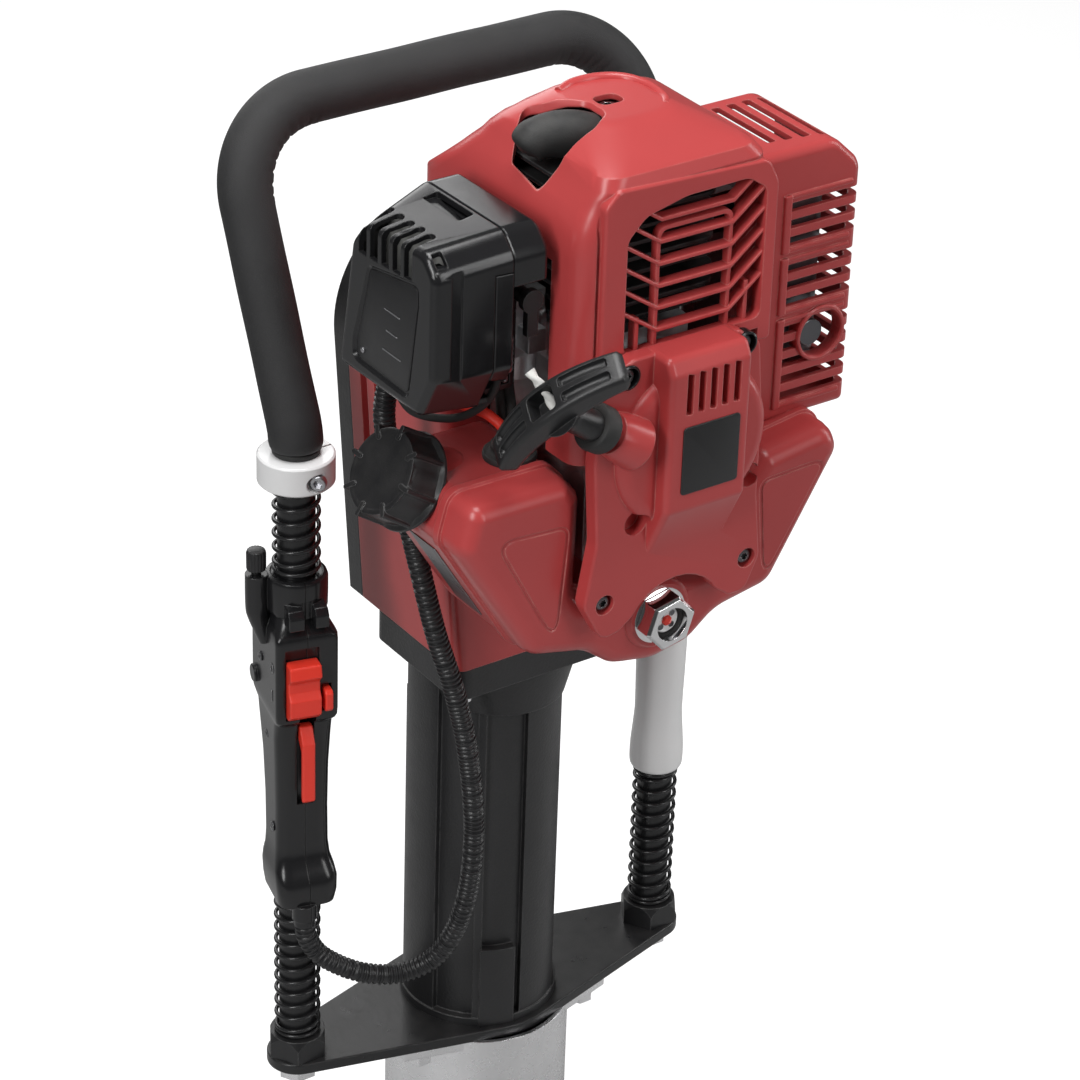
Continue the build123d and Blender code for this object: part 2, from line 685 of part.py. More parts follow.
def fuel_cap_seal():
    """The stopper under the cap that fills the neck."""
    seat = Plane(origin=CAP_SEAT, z_dir=CAP_AXIS)
    body = Pos(0, 0, -12) * Cylinder(15 - 0.3, 12, align=BOTTOM)
    return seat * body


def fuel_lines():
    grommet = upright(9, 584, 596, -66, -112) + upright(12, 590 + GAP, 597, -66, -112)
    return grommet + upright(3.2, 596, 626, -62, -112)


def sight_glass():
    body = along_y(9, -153 - GAP, -146, 0, 499)
    nut = front_view(Pos(0, 499) * RegularPolygon(13, 6, major_radius=False), -156, -165)
    body += nut + along_y(14, -156, -153 - GAP, 0, 499)
    return body - along_y(8.5, -166, -161, 0, 499)


# ---- handle -------------------------------------------------------------------------------------------
def bail_path(z_start):
    side = HALF_SPAN
    return FilletPolyline(
        (-side, 0, z_start), (-side, 0, BEND_Z), (-side, BAIL_Y, BAIL_Z),
        (side, BAIL_Y, BAIL_Z), (side, 0, BEND_Z), (side, 0, z_start), radius=BAIL_BEND_R,
    )


def bail_sweep(z_start, radius):
    section = Plane(origin=(-HALF_SPAN, 0, z_start), z_dir=(0, 0, 1)) * Circle(radius)
    return sweep(section, path=bail_path(z_start))


def handle_tube():
    z0 = PLATE_TOP - PLATE_T
    return bail_sweep(z0, TUBE_R) - bail_sweep(z0, TUBE_R - TUBE_WALL)


def foam_grip():
    return bail_sweep(COLLAR_Z1 + 0.6, FOAM_R) - bail_sweep(COLLAR_Z1 + 0.6, TUBE_R + 0.02)


def collar_screw_point(x, reach):
    """A point on a collar's clamp screw axis, 'reach' from its middle towards the head."""
    middle = (COLLAR_Z0 + COLLAR_Z1) / 2
    return Vector(x + 10.35 - 0.7 * reach, -10.15 - 0.714 * reach, middle - 1.5)


def handle_collars():
    solids = []
    for side in (-1, 1):
        x = side * HALF_SPAN
        ring = upright(COLLAR_R, COLLAR_Z0, COLLAR_Z1, x)
        ring = chamfer(ring.edges(), 1)
        ring -= upright(TUBE_R + FIT, COLLAR_Z0, COLLAR_Z1, x)
        ring -= block(x + 9, x + 24, -3.6, -2.4, COLLAR_Z0, COLLAR_Z1)
        ring -= rod(collar_screw_point(x, 11), collar_screw_point(x, 25), 5)
        ring -= rod(collar_screw_point(x, -8), collar_screw_point(x, 12), 2.5 + FIT)
        solids.append(ring)
    return Compound(solids)


def coil(z0, z1, x):
    height = z1 - z0 - 2 * SPRING_WIRE_R - 0.2
    path = Helix(SPRING_PITCH, height, SPRING_R)
    start = Plane(origin=path @ 0, z_dir=path % 0)
    spring = sweep(start * Circle(SPRING_WIRE_R), path=path, is_frenet=True)
    return Pos(x, 0, z0 + SPRING_WIRE_R + 0.1) * spring


def turned(shape):
    """Turn a throttle grip piece, drawn square to the machine, round its own leg."""
    return Pos(-HALF_SPAN, 0, 0) * Rot(0, 0, GRIP_TURN) * Pos(HALF_SPAN, 0, 0) * shape


def stub_centre():
    """The cable stub's place under the turned throttle grip, in X and Y."""
    centre = Vector(-2, -19.5, 0).rotate(Axis.Z, GRIP_TURN)
    return centre.X - HALF_SPAN, centre.Y


def grip_profile():
    """The throttle grip seen from the side, in Y and Z."""
    return outline(
        (-24, GRIP_Z0), (-24, 304), (-15, 316), (-15, 398), (-20, HEAD_Z0), (-20, HEAD_Z1), (-15, 468),
        (-15, GRIP_Z1), (15, GRIP_Z1), (18, 468), (HEAD_BACK, HEAD_Z1), (HEAD_BACK, 408), (19, 386),
        (16, 330), (15, 302), (13, GRIP_Z0),
    )


def throttle_grip():
    x = -HALF_SPAN
    body = side_view(rounded(grip_profile(), 2), x - GRIP_HALF_W, x + GRIP_HALF_W)
    head_face = outline((-20, HEAD_Z0), (-20, HEAD_Z1), (HEAD_BACK, HEAD_Z1), (HEAD_BACK, HEAD_Z0))
    head = side_view(rounded(head_face, 2), x - HEAD_HALF_W, x + HEAD_HALF_W)
    body = fillet(body.edges().filter_by(Axis.Z), 5) + fillet(head.edges().filter_by(Axis.Z), 3)
    body += upright(16.5, 466, GRIP_Z1, x)
    body += rod((x - 21, 2, 448), (x - 21, 2, GRIP_Z1), 6.2)
    body += upright(6.8, 276, 290, x - 2, -19.5) - upright(TUBE_R + 4, 270, 288, x)
    body -= upright(TUBE_R + FIT, 260, 500, x)
    body -= block(x - 4.5, x + 4.5, -40, -10, 350, 408)
    body -= block(x - 5.5, x + 5.5, 12, 40, 326, 402)
    body -= block(x - 12.3, x + 6.2, -40, -17, 407, 450)
    body -= block(x + 7.2, x + 12.8, -40, -12, 410, 427)
    return body


def throttle_grip_half(side):
    x = -HALF_SPAN
    inner = 0.05
    if side < 0:
        keep = block(x - 60, x - inner, -60, 60, 250, 520)
    else:
        keep = block(x + inner, x + 60, -60, 60, 250, 520)
    return turned(throttle_grip() & keep)


def throttle_trigger():
    x = -HALF_SPAN
    face = outline((15, 400), (21, 400), (25, 382), (25.5, 350), (22, 334), (19.5, 336), (21, 350), (20.5, 376),
                   (15, 390))
    return turned(side_view(rounded(face, 1.0), x - 5, x + 5) + rod((x - 5.2, 19, 397), (x + 5.2, 19, 397), 4))


def lockout_lever():
    x = -HALF_SPAN
    face = outline((-12, 400), (-17, 400), (-22, 391), (-22, 356), (-20, 354), (-18.6, 358), (-18.6, 386),
                   (-12, 393))
    blade = side_view(rounded(face, 0.9), x - 3.6, x + 3.6)
    return turned(blade + rod((x - 4.2, -14.5, 398), (x + 4.2, -14.5, 398), 3))


def stop_switch():
    x = -HALF_SPAN - 3
    face = outline((-17.5, 408.5), (-22, 408.5), (-27, 413), (-27, 422), (-24, 426), (-24, 431), (-28, 435),
                   (-26, 442.5), (-17.5, 442.5))
    return turned(side_view(rounded(face, 0.8), x - 8.7, x + 8.7))


def lock_button():
    x = -HALF_SPAN + 10
    body = block(x - 2.3, x + 2.3, -26, -16, 412, 425)
    return turned(fillet(body.edges(), 1.1))


def adjuster_knob():
    x = -HALF_SPAN - 21
    body = upright(5, 488.5, 500.5, x, 2)
    for i in range(12):
        angle = 2 * pi * i / 12
        body -= upright(0.7, 488.5, 500.5, x + 5.2 * cos(angle), 2 + 5.2 * sin(angle))
    return turned(body + upright(2.6, GRIP_Z1 + GAP, 489, x, 2))


def right_grip():
    x = HALF_SPAN
    wall = [(TUBE_R + FIT, 284), (14.2, 284), (15.2, 290), (15.2, 300), (13.4, 322), (14.4, 360),
            (14.8, 410), (13.6, 455), (15.5, 476), (15.5, GRIP_Z1), (TUBE_R + FIT, GRIP_Z1)]
    profile = Plane.XZ * outline(*wall)
    return Pos(x, 0, 0) * revolve(profile, Axis.Z)


def cable_conduit():
    x = -HALF_SPAN
    stub_x, stub_y = stub_centre()
    path = Spline(
        (stub_x, stub_y, 275), (stub_x + 3, -21.5, 261), (x + 6, -27, 248), (x + 24, -34, 240), (x + 44, -42, 239),
        (x + 61, -50, 252), (x + 71, -56, 282), (x + 73, -60, 330), (x + 67, -63, 384), (x + 55, -66, 430),
        (x + 34, -58, 520), (x + 24, -50, 592), (x + 24, -50, 618),
    )
    section = Plane(origin=path @ 0, z_dir=path % 0) * Circle(5.6)
    return sweep(section, path=path) - upright(6.9, 275.8, 290, stub_x, stub_y)


def socket_screws():
    solids = []
    for x, z in starter_screw_places():
        solids.append(socket_screw((x, SHROUD_FRONT - 5 - GAP, z), (0, 1, 0), 2.5, 4, 14.0))
    for x in (-HALF_SPAN, HALF_SPAN):
        solids.append(socket_screw(collar_screw_point(x, 11), (0.7, 0.714, 0), 2.5, 3.4, 18))
    solids.append(socket_screw((0, -88, 757.3), (0, 0, -1), 2.5, 3, 10))
    for x, y in deck_screw_places():
        solids.append(socket_screw((x, y, CYL_TOP - GAP), (0, 0, 1), 3, 6, DECK_Z + 7 - CYL_TOP))
    return Compound(solids)


# ---- write every piece --------------------------------------------------------------------------------
PIECES = {
    "driving_sleeve": driving_sleeve,
    "handle_plate": handle_plate,
    "plate_bolts": plate_bolts,
    "leg_nuts": leg_nuts,
    "cylinder_housing": cylinder_housing,
    "cylinder_liner": cylinder_liner,
    "anvil_bush": anvil_bush,
    "anvil": anvil,
    "striker": striker,
    "drive_piston": drive_piston,
    "connecting_rod": connecting_rod,
    "crank_gear": crank_gear,
    "drive_pinion": drive_pinion,
    "ball_bearings": ball_bearings,
    "clutch_drum": clutch_drum,
    "clutch_shoes": clutch_shoes,
    "gearbox_housing": gearbox_housing,
    "gearbox_cover": gearbox_cover,
    "crankcase": crankcase,
    "crankshaft": crankshaft,
    "engine_cylinder": engine_cylinder,
    "engine_piston": engine_piston,
    "flywheel_fan": flywheel_fan,
    "spark_plug": spark_plug,
    "spark_plug_cap": spark_plug_cap,
    "carburettor": carburettor,
    "muffler": muffler,
    "engine_shroud": engine_shroud,
    "starter_housing": starter_housing,
    "starter_reel": starter_reel,
    "recoil_spring": recoil_spring,
    "starter_rope": starter_rope,
    "starter_handle": starter_handle,
    "air_filter_base": air_filter_base,
    "air_filter_cover": air_filter_cover,
    "filter_element": filter_element,
    "choke_lever": choke_lever,
    "muffler_cover": muffler_cover,
    "fuel_tank": fuel_tank,
    "fuel_cap": fuel_cap,
    "fuel_cap_seal": fuel_cap_seal,
    "fuel_lines": fuel_lines,
    "sight_glass": sight_glass,
    "handle_tube": handle_tube,
    "foam_grip": foam_grip,
    "handle_collars": handle_collars,
    "upper_left_spring": lambda: coil(GRIP_Z1, COLLAR_Z0, -HALF_SPAN),
    "upper_right_spring": lambda: coil(GRIP_Z1, COLLAR_Z0, HALF_SPAN),
    "lower_left_spring": lambda: coil(PLATE_TOP + NUT_H, GRIP_Z0, -HALF_SPAN),
    "lower_right_spring": lambda: coil(PLATE_TOP + NUT_H, GRIP_Z0 - 4, HALF_SPAN),
    "throttle_grip_outer": lambda: throttle_grip_half(-1),
    "throttle_grip_inner": lambda: throttle_grip_half(1),
    "throttle_trigger": throttle_trigger,
    "lockout_lever": lockout_lever,
    "stop_switch": stop_switch,
    "lock_button": lock_button,
    "adjuster_knob": adjuster_knob,
    "right_grip": right_grip,
    "cable_conduit": cable_conduit,
    "socket_screws": socket_screws,
}

for name, make in PIECES.items():
    save(make(), name)
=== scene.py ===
import bpy
import bmesh
import json
import random
from math import acos, cos, pi, radians, sin, sqrt, tan
from mathutils import Matrix, Vector

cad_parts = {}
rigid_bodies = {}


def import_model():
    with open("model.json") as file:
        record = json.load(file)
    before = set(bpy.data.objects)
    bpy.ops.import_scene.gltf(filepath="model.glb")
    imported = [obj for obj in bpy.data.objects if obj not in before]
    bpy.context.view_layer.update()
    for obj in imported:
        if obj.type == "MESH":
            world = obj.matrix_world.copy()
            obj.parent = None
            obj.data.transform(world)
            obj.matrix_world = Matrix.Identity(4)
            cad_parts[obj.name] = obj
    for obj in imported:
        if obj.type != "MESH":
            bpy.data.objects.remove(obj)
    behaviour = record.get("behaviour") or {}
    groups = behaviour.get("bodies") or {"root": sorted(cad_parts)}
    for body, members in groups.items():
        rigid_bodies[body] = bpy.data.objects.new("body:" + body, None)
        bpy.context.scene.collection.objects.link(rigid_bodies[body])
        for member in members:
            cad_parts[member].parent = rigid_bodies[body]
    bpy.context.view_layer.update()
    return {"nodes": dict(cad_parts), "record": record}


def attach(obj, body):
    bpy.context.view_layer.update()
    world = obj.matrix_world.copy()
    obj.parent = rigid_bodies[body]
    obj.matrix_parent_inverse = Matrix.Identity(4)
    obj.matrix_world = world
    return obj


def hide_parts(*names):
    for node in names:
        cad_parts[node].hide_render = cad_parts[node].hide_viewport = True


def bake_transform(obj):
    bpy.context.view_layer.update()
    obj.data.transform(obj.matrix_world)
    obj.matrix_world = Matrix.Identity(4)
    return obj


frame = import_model()
random.seed(7)

MM = 0.001
SPAN = 120.0  # the handle tube's legs stand at x = -SPAN and SPAN
FRONT = (0, -1, 0)
UP = (0, 0, 1)
LEFT = (-1, 0, 0)


# ---- small geometry helpers, in millimetres ----
def sub2(a, b):
    return (a[0] - b[0], a[1] - b[1])


def length2(a):
    return sqrt(a[0] * a[0] + a[1] * a[1])


def unit2(a):
    n = length2(a) or 1.0
    return (a[0] / n, a[1] / n)


def area2(points):
    return sum(points[i - 1][0] * p[1] - p[0] * points[i - 1][1] for i, p in enumerate(points)) / 2


def ccw(points):
    return list(points) if area2(points) > 0 else list(reversed(points))


def inset_corners(points, distance):
    """Moves every edge of a counter-clockwise polygon inwards and returns the new corners."""
    out = []
    count = len(points)
    for i in range(count):
        before = unit2(sub2(points[i], points[i - 1]))
        after = unit2(sub2(points[(i + 1) % count], points[i]))
        normal_a = (-before[1], before[0])
        normal_b = (-after[1], after[0])
        bisector = (normal_a[0] + normal_b[0], normal_a[1] + normal_b[1])
        scale = distance / max(0.25, 1 + normal_a[0] * normal_b[0] + normal_a[1] * normal_b[1])
        out.append((points[i][0] + bisector[0] * scale, points[i][1] + bisector[1] * scale))
    return out


FULLNESS = 0.9  # weight of a corner's middle control point: a little fuller than an arc


def round_corners(points, radii, steps=6):
    """Each corner of a polygon becomes a conic curve of steps + 1 points."""
    out = []
    count = len(points)
    for i, here in enumerate(points):
        sides = [sub2(points[i - 1], here), sub2(points[(i + 1) % count], here)]
        ua, ub = [unit2(side) for side in sides]
        dot = max(-0.999999, min(0.999999, ua[0] * ub[0] + ua[1] * ub[1]))
        reach = min([radii[i] / tan(acos(dot) / 2)] + [0.48 * length2(side) for side in sides])
        start = (here[0] + ua[0] * reach, here[1] + ua[1] * reach)
        end = (here[0] + ub[0] * reach, here[1] + ub[1] * reach)
        for k in range(steps + 1):
            t = k / steps
            a, b, c = (1 - t) ** 2, 2 * t * (1 - t) * FULLNESS, t ** 2
            out.append(tuple((start[n] * a + here[n] * b + end[n] * c) / (a + b + c) for n in (0, 1)))
    return out


def rounded_outline(points, radius, inset=0.0, steps=6):
    """A polygon moved inwards by inset, with one corner radius or a list of them."""
    corners = ccw(points)
    radii = radius if isinstance(radius, (list, tuple)) else [radius] * len(corners)
    if area2(points) < 0:
        radii = list(reversed(radii))
    shifted = []
    count = len(corners)
    for i in range(count):
        a = sub2(corners[i], corners[i - 1])
        b = sub2(corners[(i + 1) % count], corners[i])
        convex = a[0] * b[1] - a[1] * b[0] > 0
        shifted.append(max(0.15, radii[i] - inset if convex else radii[i] + inset))
    return round_corners(inset_corners(corners, inset), shifted, steps)


def rectangle(u0, u1, v0, v1):
    return [(u0, v0), (u1, v0), (u1, v1), (u0, v1)]


def circle(radius, count=48, u=0.0, v=0.0):
    return [(u + radius * cos(2 * pi * i / count), v + radius * sin(2 * pi * i / count))
        for i in range(count)]


def xz(u, v, d):
    """Outline drawn in X and Z; depth runs along Y."""
    return (u, d, v)


def yz(u, v, d):
    """Outline drawn in Y and Z; depth runs along X."""
    return (d, u, v)


def xy(u, v, d):
    """Outline drawn in X and Y; depth runs along Z."""
    return (u, v, d)


def make_object(name, verts, faces, sharp=32.0):
    mesh = bpy.data.meshes.new(name)
    mesh.from_pydata([(x * MM, y * MM, z * MM) for x, y, z in verts], [], faces)
    obj = bpy.data.objects.new(name, mesh)
    bpy.context.scene.collection.objects.link(obj)
    tidy_normals(obj, sharp)
    return obj


def tidy_normals(obj, sharp=32.0):
    bm = bmesh.new()
    bm.from_mesh(obj.data)
    bmesh.ops.remove_doubles(bm, verts=bm.verts, dist=0.00001)
    bmesh.ops.recalc_face_normals(bm, faces=bm.faces)
    mark_sharp(bm, sharp)
    bm.to_mesh(obj.data)
    bm.free()


def mark_sharp(bm, sharp):
    limit = radians(sharp)
    for face in bm.faces:
        face.smooth = True
    for edge in bm.edges:
        if len(edge.link_faces) == 2:
            edge.smooth = edge.calc_face_angle(0.0) < limit
        else:
            edge.smooth = False


def loft(name, rings, cap_start=True, cap_end=True, sharp=32.0, closed=False):
    """Skin over rings of equal point count."""
    verts = [p for ring in rings for p in ring]
    count = len(rings[0])
    faces = []
    last = len(rings) if closed else len(rings) - 1
    for i in range(last):
        a = i * count
        b = ((i + 1) % len(rings)) * count
        for k in range(count):
            n = (k + 1) % count
            faces.append((a + k, a + n, b + n, b + k))
    if cap_start and not closed:
        faces.append(tuple(reversed(range(count))))
    if cap_end and not closed:
        base = (len(rings) - 1) * count
        faces.append(tuple(range(base, base + count)))
    return make_object(name, verts, faces, sharp)


def moulded(name, points, radius, levels, place, steps=6, sharp=32.0):
    """A solid whose outline is inset by a stated amount at each depth: levels is (depth, inset) pairs."""
    rings = []
    for depth, inset in levels:
        ring = rounded_outline(points, radius, inset, steps)
        rings.append([place(u, v, depth) for u, v in ring])
    return loft(name, rings, sharp=sharp)


def edge_levels(near, far, radius, steps=4, near_radius=None):
    """Levels for a slab from depth near to depth far with both rims rounded."""
    sign = 1 if far > near else -1
    first = radius if near_radius is None else near_radius
    out = [(near + sign * first * (1 - cos(pi / 2 * k / steps)), first * (1 - sin(pi / 2 * k / steps)))
        for k in range(steps + 1)] if first else [(near, 0.0)]
    out += [(far - sign * radius * (1 - cos(pi / 2 * k / steps)), radius * (1 - sin(pi / 2 * k / steps)))
        for k in range(steps, -1, -1)] if radius else [(far, 0.0)]
    return out


def front_rim(near, far, radius, steps):
    """Levels for a slab whose far rim alone is rounded."""
    return edge_levels(near, far, radius, steps, near_radius=0)


def frame_at(origin, axis, hint=UP):
    z = Vector(axis).normalized()
    x = Vector(hint).cross(z)
    if x.length < 1e-4:
        x = Vector((1, 0, 0)).cross(z)
    x.normalize()
    y = z.cross(x)
    return Vector(origin), x, y, z


def lathe(name, profile, origin, axis, count=64, sharp=32.0, wave=None):
    """Turns (radius, height) pairs about an axis; wave(angle, radius, height) may change the radius."""
    o, x, y, z = frame_at(origin, axis)
    rings = []
    for radius, height in profile:
        ring = []
        for k in range(count):
            a = 2 * pi * k / count
            r = radius if wave is None else wave(a, radius, height)
            ring.append(tuple(o + x * (r * cos(a)) + y * (r * sin(a)) + z * height))
        rings.append(ring)
    return loft(name, rings, sharp=sharp)


def turned_ring(name, profile, origin, axis, count=64, sharp=32.0):
    """A ring: a closed (radius, height) outline turned about an axis."""
    o, x, y, z = frame_at(origin, axis)
    rings = []
    for k in range(count):
        a = 2 * pi * k / count
        out = x * cos(a) + y * sin(a)
        rings.append([tuple(o + out * radius + z * height) for radius, height in profile])
    return loft(name, rings, sharp=sharp, closed=True)


def sweep(name, path, radius, count=24, cap=True, sharp=40.0):
    """A tube along a list of points. radius is a number or a function of (index, angle)."""
    points = [Vector(p) for p in path]
    total = len(points)
    rings = []
    tangent = (points[1] - points[0]).normalized()
    side = tangent.orthogonal().normalized()
    for i, p in enumerate(points):
        a = points[max(0, i - 1)]
        b = points[min(total - 1, i + 1)]
        new_tangent = (b - a).normalized()
        turn = tangent.rotation_difference(new_tangent)
        side = (turn @ side).normalized()
        tangent = new_tangent
        up = tangent.cross(side).normalized()
        ring = []
        for k in range(count):
            angle = 2 * pi * k / count
            r = radius(i, angle, side, up, tangent) if callable(radius) else radius
            ring.append(tuple(p + side * (r * cos(angle)) + up * (r * sin(angle))))
        rings.append(ring)
    return loft(name, rings, cap, cap, sharp)


def smooth_path(points, step=1.5):
    """Catmull-Rom curve through points, sampled about every step millimetres."""
    pts = [Vector(p) for p in points]
    pts = [pts[0] * 2 - pts[1]] + pts + [pts[-1] * 2 - pts[-2]]
    out = []
    for i in range(1, len(pts) - 2):
        p0, p1, p2, p3 = pts[i - 1: i + 3]
        count = max(2, int((p2 - p1).length / step))
        for k in range(count):
            t = k / count
            out.append(0.5 * ((2 * p1) + (p2 - p0) * t + (2 * p0 - 5 * p1 + 4 * p2 - p3) * t * t
                + (3 * p1 - p0 - 3 * p2 + p3) * t ** 3))
    out.append(pts[-2])
    return out


def fillet_path(points, radius, step=1.5):
    """A polyline in space whose corners are arcs."""
    pts = [Vector(p) for p in points]
    out = [pts[0]]
    for i in range(1, len(pts) - 1):
        here = pts[i]
        ua = (pts[i - 1] - here).normalized()
        ub = (pts[i + 1] - here).normalized()
        half = ua.angle(ub) / 2
        reach = radius / tan(half)
        start = here + ua * reach
        end = here + ub * reach
        centre = here + (ua + ub).normalized() * (radius / sin(half))
        ra = start - centre
        rb = end - centre
        total = ra.angle(rb)
        count = max(3, int(total * radius / step))
        out += straight(out[-1], start, step)
        for k in range(1, count + 1):
            t = k / count
            out.append(centre + (ra * sin((1 - t) * total) + rb * sin(t * total)) / sin(total))
    out += straight(out[-1], pts[-1], step)
    return out


def straight(a, b, step):
    count = max(1, int((b - a).length / step))
    return [a.lerp(b, k / count) for k in range(1, count + 1)]


def slab(name, x0, x1, y0, y1, z0, z1, corner=1.0, rim=0.6):
    """A block with rounded vertical corners and softened rims."""
    return moulded(name, rectangle(x0, x1, y0, y1), corner, edge_levels(z0, z1, rim, 2), xy, 3)


# ---- mesh operations ----
def baked(obj):
    """Replaces the object's mesh with its evaluated mesh and drops the modifiers."""
    bpy.context.view_layer.update()
    result = bpy.data.meshes.new_from_object(obj.evaluated_get(bpy.context.evaluated_depsgraph_get()))
    obj.modifiers.clear()
    old = obj.data
    obj.data = result
    bpy.data.meshes.remove(old)


def boolean(obj, others, operation="DIFFERENCE", sharp=32.0):
    for other in others:
        modifier = obj.modifiers.new("b", "BOOLEAN")
        modifier.operation = operation
        modifier.solver = "EXACT"
        modifier.object = other
    baked(obj)
    for other in others:
        bpy.data.objects.remove(other)
    bm = bmesh.new()
    bm.from_mesh(obj.data)
    bmesh.ops.remove_doubles(bm, verts=bm.verts, dist=0.000004)
    bmesh.ops.dissolve_degenerate(bm, edges=bm.edges, dist=0.000002)
    mark_sharp(bm, sharp)
    bm.to_mesh(obj.data)
    bm.free()
    return obj


def cut(obj, *others, sharp=32.0):
    return boolean(obj, others, "DIFFERENCE", sharp)


def fuse(obj, *others, sharp=32.0):
    return boolean(obj, others, "UNION", sharp)


def join(name, *objs):
    """Several meshes become one object."""
    bm = bmesh.new()
    for o in objs:
        bm.from_mesh(o.data)
        bpy.data.objects.remove(o)
    mesh = bpy.data.meshes.new(name)
    bm.to_mesh(mesh)
    bm.free()
    obj = bpy.data.objects.new(name, mesh)
    bpy.context.scene.collection.objects.link(obj)
    return obj


def even_shading(obj):
    modifier = obj.modifiers.new("even", "WEIGHTED_NORMAL")
    modifier.keep_sharp = True
    modifier.weight = 60


# ---- materials ----
NOISE_SPAN = (0.3, 0.7)  # where nearly all of a noise texture's values lie
DUST = (0.45, 0.43, 0.40, 1.0)


def material(name, colour, rough, metal=0.0, grain=(900.0, 0.04), blotch=0.10, rough_blotch=0.10, edge=0.8,
        wear=None, wear_amount=0.0, coat=0.0, scratches=0.0, brushed=None, dust=0.0):
    """A procedural finish: colour drift, roughness drift, grain bump, softened edges and edge wear.

    grain is (scale, strength of the bump); edge is the softened radius in millimetres.
    """
    mat = bpy.data.materials.new(name)
    mat.use_nodes = True
    tree = mat.node_tree
    tree.nodes.clear()

    def put(value, socket):
        if isinstance(value, bpy.types.NodeSocket):
            tree.links.new(value, socket)
        else:
            socket.default_value = value

    def node(kind, **values):
        """Each value is the setting, the input or the output to link that its name stands for."""
        n = tree.nodes.new("ShaderNode" + kind)
        for key, value in values.items():
            key = key.replace("_", " ")
            if key in n.inputs:
                put(value, n.inputs[key])
            else:
                setattr(n, key.replace(" ", "_"), value)
        return n

    def maths(operation, *values):
        n = node("Math", operation=operation)
        for i, value in enumerate(values):
            put(value, n.inputs[i])
        return n.outputs[0]

    def spread(value, low, high):
        return node("MapRange", Value=value, From_Min=NOISE_SPAN[0], From_Max=NOISE_SPAN[1], To_Min=low,
            To_Max=high).outputs["Result"]

    def mixed(amount, base, other):
        n = node("Mix", data_type="RGBA")
        for i, value in ((0, amount), (6, base), (7, other)):
            put(value, n.inputs[i])
        return n.outputs[2]

    place = node("TexCoord").outputs["Object"]
    grain_place = place
    if brushed:
        grain_place = node("Mapping", Vector=place, Scale=brushed).outputs["Vector"]
    broad = node("TexNoise", Vector=place, Scale=14.0, Detail=4.0).outputs["Fac"]
    mid = node("TexNoise", Vector=place, Scale=95.0, Detail=5.0).outputs["Fac"]
    fine = node("TexNoise", Vector=grain_place, Scale=grain[0], Detail=3.0, Roughness=0.6).outputs["Fac"]

    tint = node("VectorMath", operation="SCALE", Scale=spread(broad, 1 - blotch, 1 + blotch))
    tint.inputs[0].default_value = colour
    base = tint.outputs[0]
    soft = node("Bevel", samples=4, Radius=edge * MM).outputs[0]
    flat = node("NewGeometry").outputs["Normal"]
    if wear is not None:
        dot = node("VectorMath", operation="DOT_PRODUCT")
        put(soft, dot.inputs[0])
        put(flat, dot.inputs[1])
        rounded = maths("MULTIPLY", maths("SUBTRACT", 1.0, dot.outputs["Value"]), 6.0)
        worn = maths("MULTIPLY", rounded, spread(mid, 0.0, 1.6))
        base = mixed(maths("MINIMUM", maths("MULTIPLY", worn, wear_amount), 1.0), base, (*wear, 1.0))
    if dust:
        up = node("SeparateXYZ", Vector=flat).outputs["Z"]
        base = mixed(maths("MULTIPLY", maths("MAXIMUM", up, 0.0), spread(mid, 0.0, dust)), base, DUST)
    wander = spread(mid, rough * (1 - rough_blotch), rough * (1 + rough_blotch))
    if scratches:
        lines = node("TexWave", Vector=place, Scale=60.0, Distortion=14.0, Detail=3.0).outputs["Fac"]
        wander = maths("ADD", wander, maths("MULTIPLY", maths("POWER", lines, 12.0), scratches))
    bump = node("Bump", Strength=grain[1], Distance=0.0006, Height=fine, Normal=soft)
    shader = node("BsdfPrincipled", Base_Color=base, Roughness=wander, Metallic=metal, Coat_Weight=coat,
        Coat_Roughness=0.12, Normal=bump.outputs[0])
    node("OutputMaterial", Surface=shader.outputs[0])
    return mat


